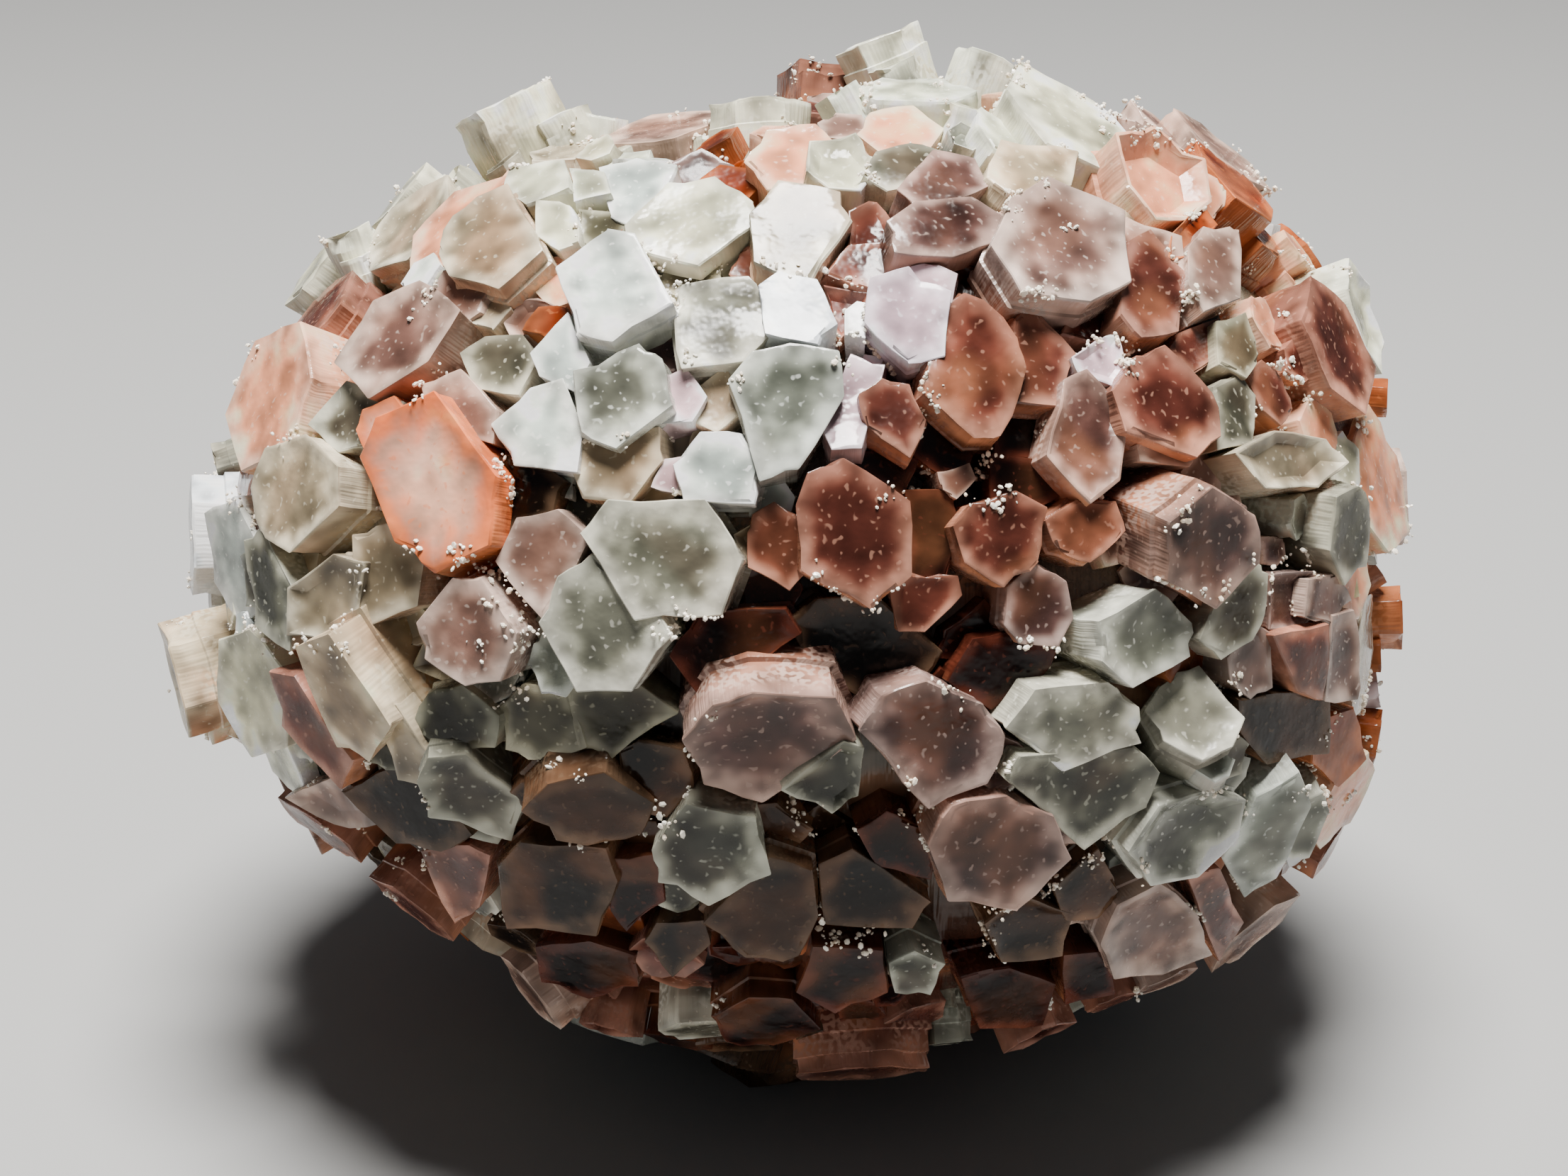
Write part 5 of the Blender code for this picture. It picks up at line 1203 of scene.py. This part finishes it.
def model_grain():
    """One grain: a small ball, drawn out and broken into flat facets."""
    select_nothing()
    bpy.ops.mesh.primitive_ico_sphere_add(subdivisions=1, radius=1.0, location=(0.0, 0.0, 0.0))
    grain = bpy.context.object
    bpy.ops.object.mode_set(mode="EDIT")
    bpy.ops.mesh.select_all(action="SELECT")
    bpy.ops.transform.resize(value=(1.0, 0.8, 1.25), center_override=(0.0, 0.0, 0.0))
    bpy.ops.transform.vertex_random(offset=0.22, seed=4)
    bpy.ops.object.mode_set(mode="OBJECT")
    return grain


def skin_places(piece):
    """The middles, directions, sizes and growth places of a piece's triangles."""
    mesh = piece.data
    mesh.calc_loop_triangles()
    count = len(mesh.loop_triangles)
    corners = np.empty(count * 3, dtype=np.int32)
    loops = np.empty(count * 3, dtype=np.int32)
    mesh.loop_triangles.foreach_get("vertices", corners)
    mesh.loop_triangles.foreach_get("loops", loops)
    points = np.empty(len(mesh.vertices) * 3)
    mesh.vertices.foreach_get("co", points)
    zones = np.empty(len(mesh.loops) * 2)
    mesh.uv_layers["zone"].data.foreach_get("uv", zones)
    triangles = points.reshape(-1, 3)[corners].reshape(-1, 3, 3)
    zone = zones.reshape(-1, 2)[loops].reshape(-1, 3, 2).mean(axis=1)
    cross = np.cross(triangles[:, 1] - triangles[:, 0], triangles[:, 2] - triangles[:, 0])
    size = np.linalg.norm(cross, axis=1)
    return triangles, cross / np.maximum(size, 1e-12)[:, None], size / 2, zone


def scatter_grains(pieces, chance):
    """Grains along the rims and in the gaps between the crystals, thick in some places, few in others."""
    grain = model_grain()
    shape = np.empty(len(grain.data.vertices) * 3)
    grain.data.vertices.foreach_get("co", shape)
    shape = shape.reshape(-1, 3)
    faces = np.array([list(one.vertices) for one in grain.data.polygons])
    bpy.data.objects.remove(grain)
    gathered = [skin_places(piece) for piece in pieces]
    triangles, normals, sizes, zones = (np.concatenate(parts) for parts in zip(*gathered))
    middles = triangles.mean(axis=1) / MM
    share, depth = zones[:, 0], zones[:, 1]
    crust = np.array([noise.noise(Vector(spot) * CRUST_RATE + Vector((0.0, 9.0, 0.0))) for spot in middles])
    thick = sizes * np.clip(crust * CRUST_GAIN + CRUST_LEAST, 0.02, 1.3) ** 2 * (middles[:, 2] > 0.6)
    thick *= np.clip((middles[:, 2] - 8.0) / 26.0, 0.06, 1.0)
    on_rim = thick * (share > 0.84) * (depth < 0.4)
    in_gap = thick * (depth > 0.7) * (depth < 2.6)
    weight = (on_rim / on_rim.sum() * GRAINS_ON_RIMS + in_gap / in_gap.sum() * GRAINS_IN_GAPS
              + sizes / sizes.sum() * (1.0 - GRAINS_ON_RIMS - GRAINS_IN_GAPS))
    heaps = GRAIN_COUNT // GRAINS_TOGETHER
    picked = np.repeat(chance.choice(len(sizes), heaps, p=weight / weight.sum()), GRAINS_TOGETHER)
    mix = np.repeat(chance.dirichlet((1.0, 1.0, 1.0), heaps), GRAINS_TOGETHER, axis=0)
    spots = np.einsum("nk,nkc->nc", mix, triangles[picked])
    aside = chance.normal(0.0, GRAINS_APART * MM, spots.shape)
    spots += aside - normals[picked] * np.einsum("nc,nc->n", aside, normals[picked])[:, None]
    radius = GRAIN_RADIUS[0] + (GRAIN_RADIUS[1] - GRAIN_RADIUS[0]) * chance.random(GRAIN_COUNT) ** 1.8
    spots += normals[picked] * (radius * GRAIN_RISE * MM)[:, None]
    turns, _ = np.linalg.qr(chance.normal(size=(GRAIN_COUNT, 3, 3)))
    stretch = chance.uniform(0.7, 1.3, (GRAIN_COUNT, 1, 3))
    points = np.einsum("nvk,nck->nvc", shape[None] * stretch, turns)
    points = points * (radius * MM)[:, None, None] + spots[:, None, :]
    all_faces = faces[None] + (np.arange(GRAIN_COUNT) * len(shape))[:, None, None]
    mesh = bpy.data.meshes.new("sugar_grains")
    mesh.from_pydata(points.reshape(-1, 3).tolist(), [], all_faces.reshape(-1, 3).tolist())
    piece = bpy.data.objects.new("sugar_grains", mesh)
    bpy.context.scene.collection.objects.link(piece)
    select_nothing()
    bpy.context.view_layer.objects.active = piece
    piece.select_set(True)
    bpy.ops.object.mode_set(mode="EDIT")
    bpy.ops.mesh.select_all(action="SELECT")
    bpy.ops.mesh.normals_make_consistent(inside=False)
    bpy.ops.object.mode_set(mode="OBJECT")
    return piece


def make_camera():
    """The photograph's view: a long lens, looking a little down on the cluster."""
    lens = SENSOR * FRONT_VIEW_DISTANCE / (PHOTO_WIDTH_PX / PX_PER_MM)
    camera = bpy.data.objects.new("camera", bpy.data.cameras.new("camera"))
    camera.data.sensor_width = SENSOR
    camera.data.lens = lens
    camera.data.shift_x = FRAME_RIGHT_PX / PHOTO_WIDTH_PX
    camera.data.shift_y = -FRAME_DOWN_PX / PHOTO_WIDTH_PX
    camera.data.clip_start = 0.01
    camera.location = EYE * MM
    camera.rotation_euler = (-TOWARD).to_track_quat("-Z", "Y").to_euler()
    bpy.context.scene.collection.objects.link(camera)
    bpy.context.scene.camera = camera


def add_lamp(name, place, size, watts, colour):
    lamp = bpy.data.lights.new(name, "AREA")
    lamp.shape = "DISK"
    lamp.size = size
    lamp.energy = watts
    lamp.color = colour
    holder = bpy.data.objects.new(name, lamp)
    holder.location = Vector(place)
    aim = MIDDLE * MM - holder.location
    holder.rotation_euler = aim.to_track_quat("-Z", "Y").to_euler()
    bpy.context.scene.collection.objects.link(holder)


def make_studio():
    """A pale floor, a large soft lamp overhead and a weak even light from all round."""
    select_nothing()
    bpy.ops.mesh.primitive_plane_add(size=4.0, location=(0.0, 0.0, 0.0))
    floor = bpy.context.object
    floor.name = "floor"
    material = bpy.data.materials.new("pale floor")
    material.use_nodes = True
    shader = material.node_tree.nodes["Principled BSDF"]
    shader.inputs["Base Color"].default_value = (0.30, 0.30, 0.297, 1.0)
    shader.inputs["Roughness"].default_value = 0.8
    shader.inputs["Specular IOR Level"].default_value = 0.2
    floor.data.materials.append(material)
    world = bpy.data.worlds.new("studio")
    bpy.context.scene.world = world
    world.use_nodes = True
    world.node_tree.nodes["Background"].inputs["Color"].default_value = (0.86, 0.90, 0.95, 1.0)
    world.node_tree.nodes["Background"].inputs["Strength"].default_value = 0.14
    add_lamp("overhead lamp", (0.0, -0.04, 0.46), 0.20, 9.4, (1.0, 0.98, 0.95))


def main():
    chance = random.Random(11)
    crystals = list(PLACED) + [standing_crystal(*row) for row in STANDING]
    crystals += filling_crystals(crystals, HIDDEN_COUNT, HIDDEN_WIDTH, HIDDEN_LIFT, HIDDEN_SPACING, chance)
    crystals += filling_crystals(crystals, GAP_COUNT, GAP_WIDTH, GAP_LIFT, GAP_SPACING, chance)
    crystals += filling_crystals(crystals, SMALL_COUNT, SMALL_WIDTH, SMALL_LIFT, SMALL_SPACING, chance)
    for crystal in crystals:
        if "tint" not in crystal:
            crystal["tint"] = region_tint(middle_of(crystal), chance)
    crystals += twin_crystals(crystals, chance)
    last = filling_crystals(crystals, LAST_COUNT, LAST_WIDTH, LAST_LIFT, LAST_SPACING, chance)
    for crystal in last:
        crystal["tint"] = region_tint(middle_of(crystal), chance)
    crystals += last
    blanks = {}
    for corners in sorted({len(crystal["outline"]) for crystal in crystals}):
        blank = model_blank(corners)
        blanks[corners] = measure_blank(blank, corners)
    grown = {RED: [], GREEN: []}
    for number, crystal in enumerate(crystals):
        grown[TINTS[crystal["tint"]][0]].append(grow_crystal(number, crystal, blanks))
    mass = model_inner_mass()
    red = join_group("red_crystals", mass, grown[RED])
    first = bpy.data.objects.new("green_crystals", grown[GREEN][0])
    bpy.context.scene.collection.objects.link(first)
    green = join_group("green_crystals", first, grown[GREEN][1:])
    for corners in blanks:
        bpy.data.objects.remove(bpy.data.objects[f"blank_{corners}"])
    growth = growth_group()
    red.data.materials.clear()
    red.data.materials.append(red_finish(growth))
    green.data.materials.clear()
    green.data.materials.append(green_finish(growth))
    grains = scatter_grains([red, green], np.random.default_rng(5))
    grains.data.materials.append(grain_finish())
    for piece in (red, green, grains):
        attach(piece, BODY)
        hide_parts(NODE)
        print(piece.name, sum(len(one.vertices) - 2 for one in piece.data.polygons), "triangles")
    make_camera()
    make_studio()


main()
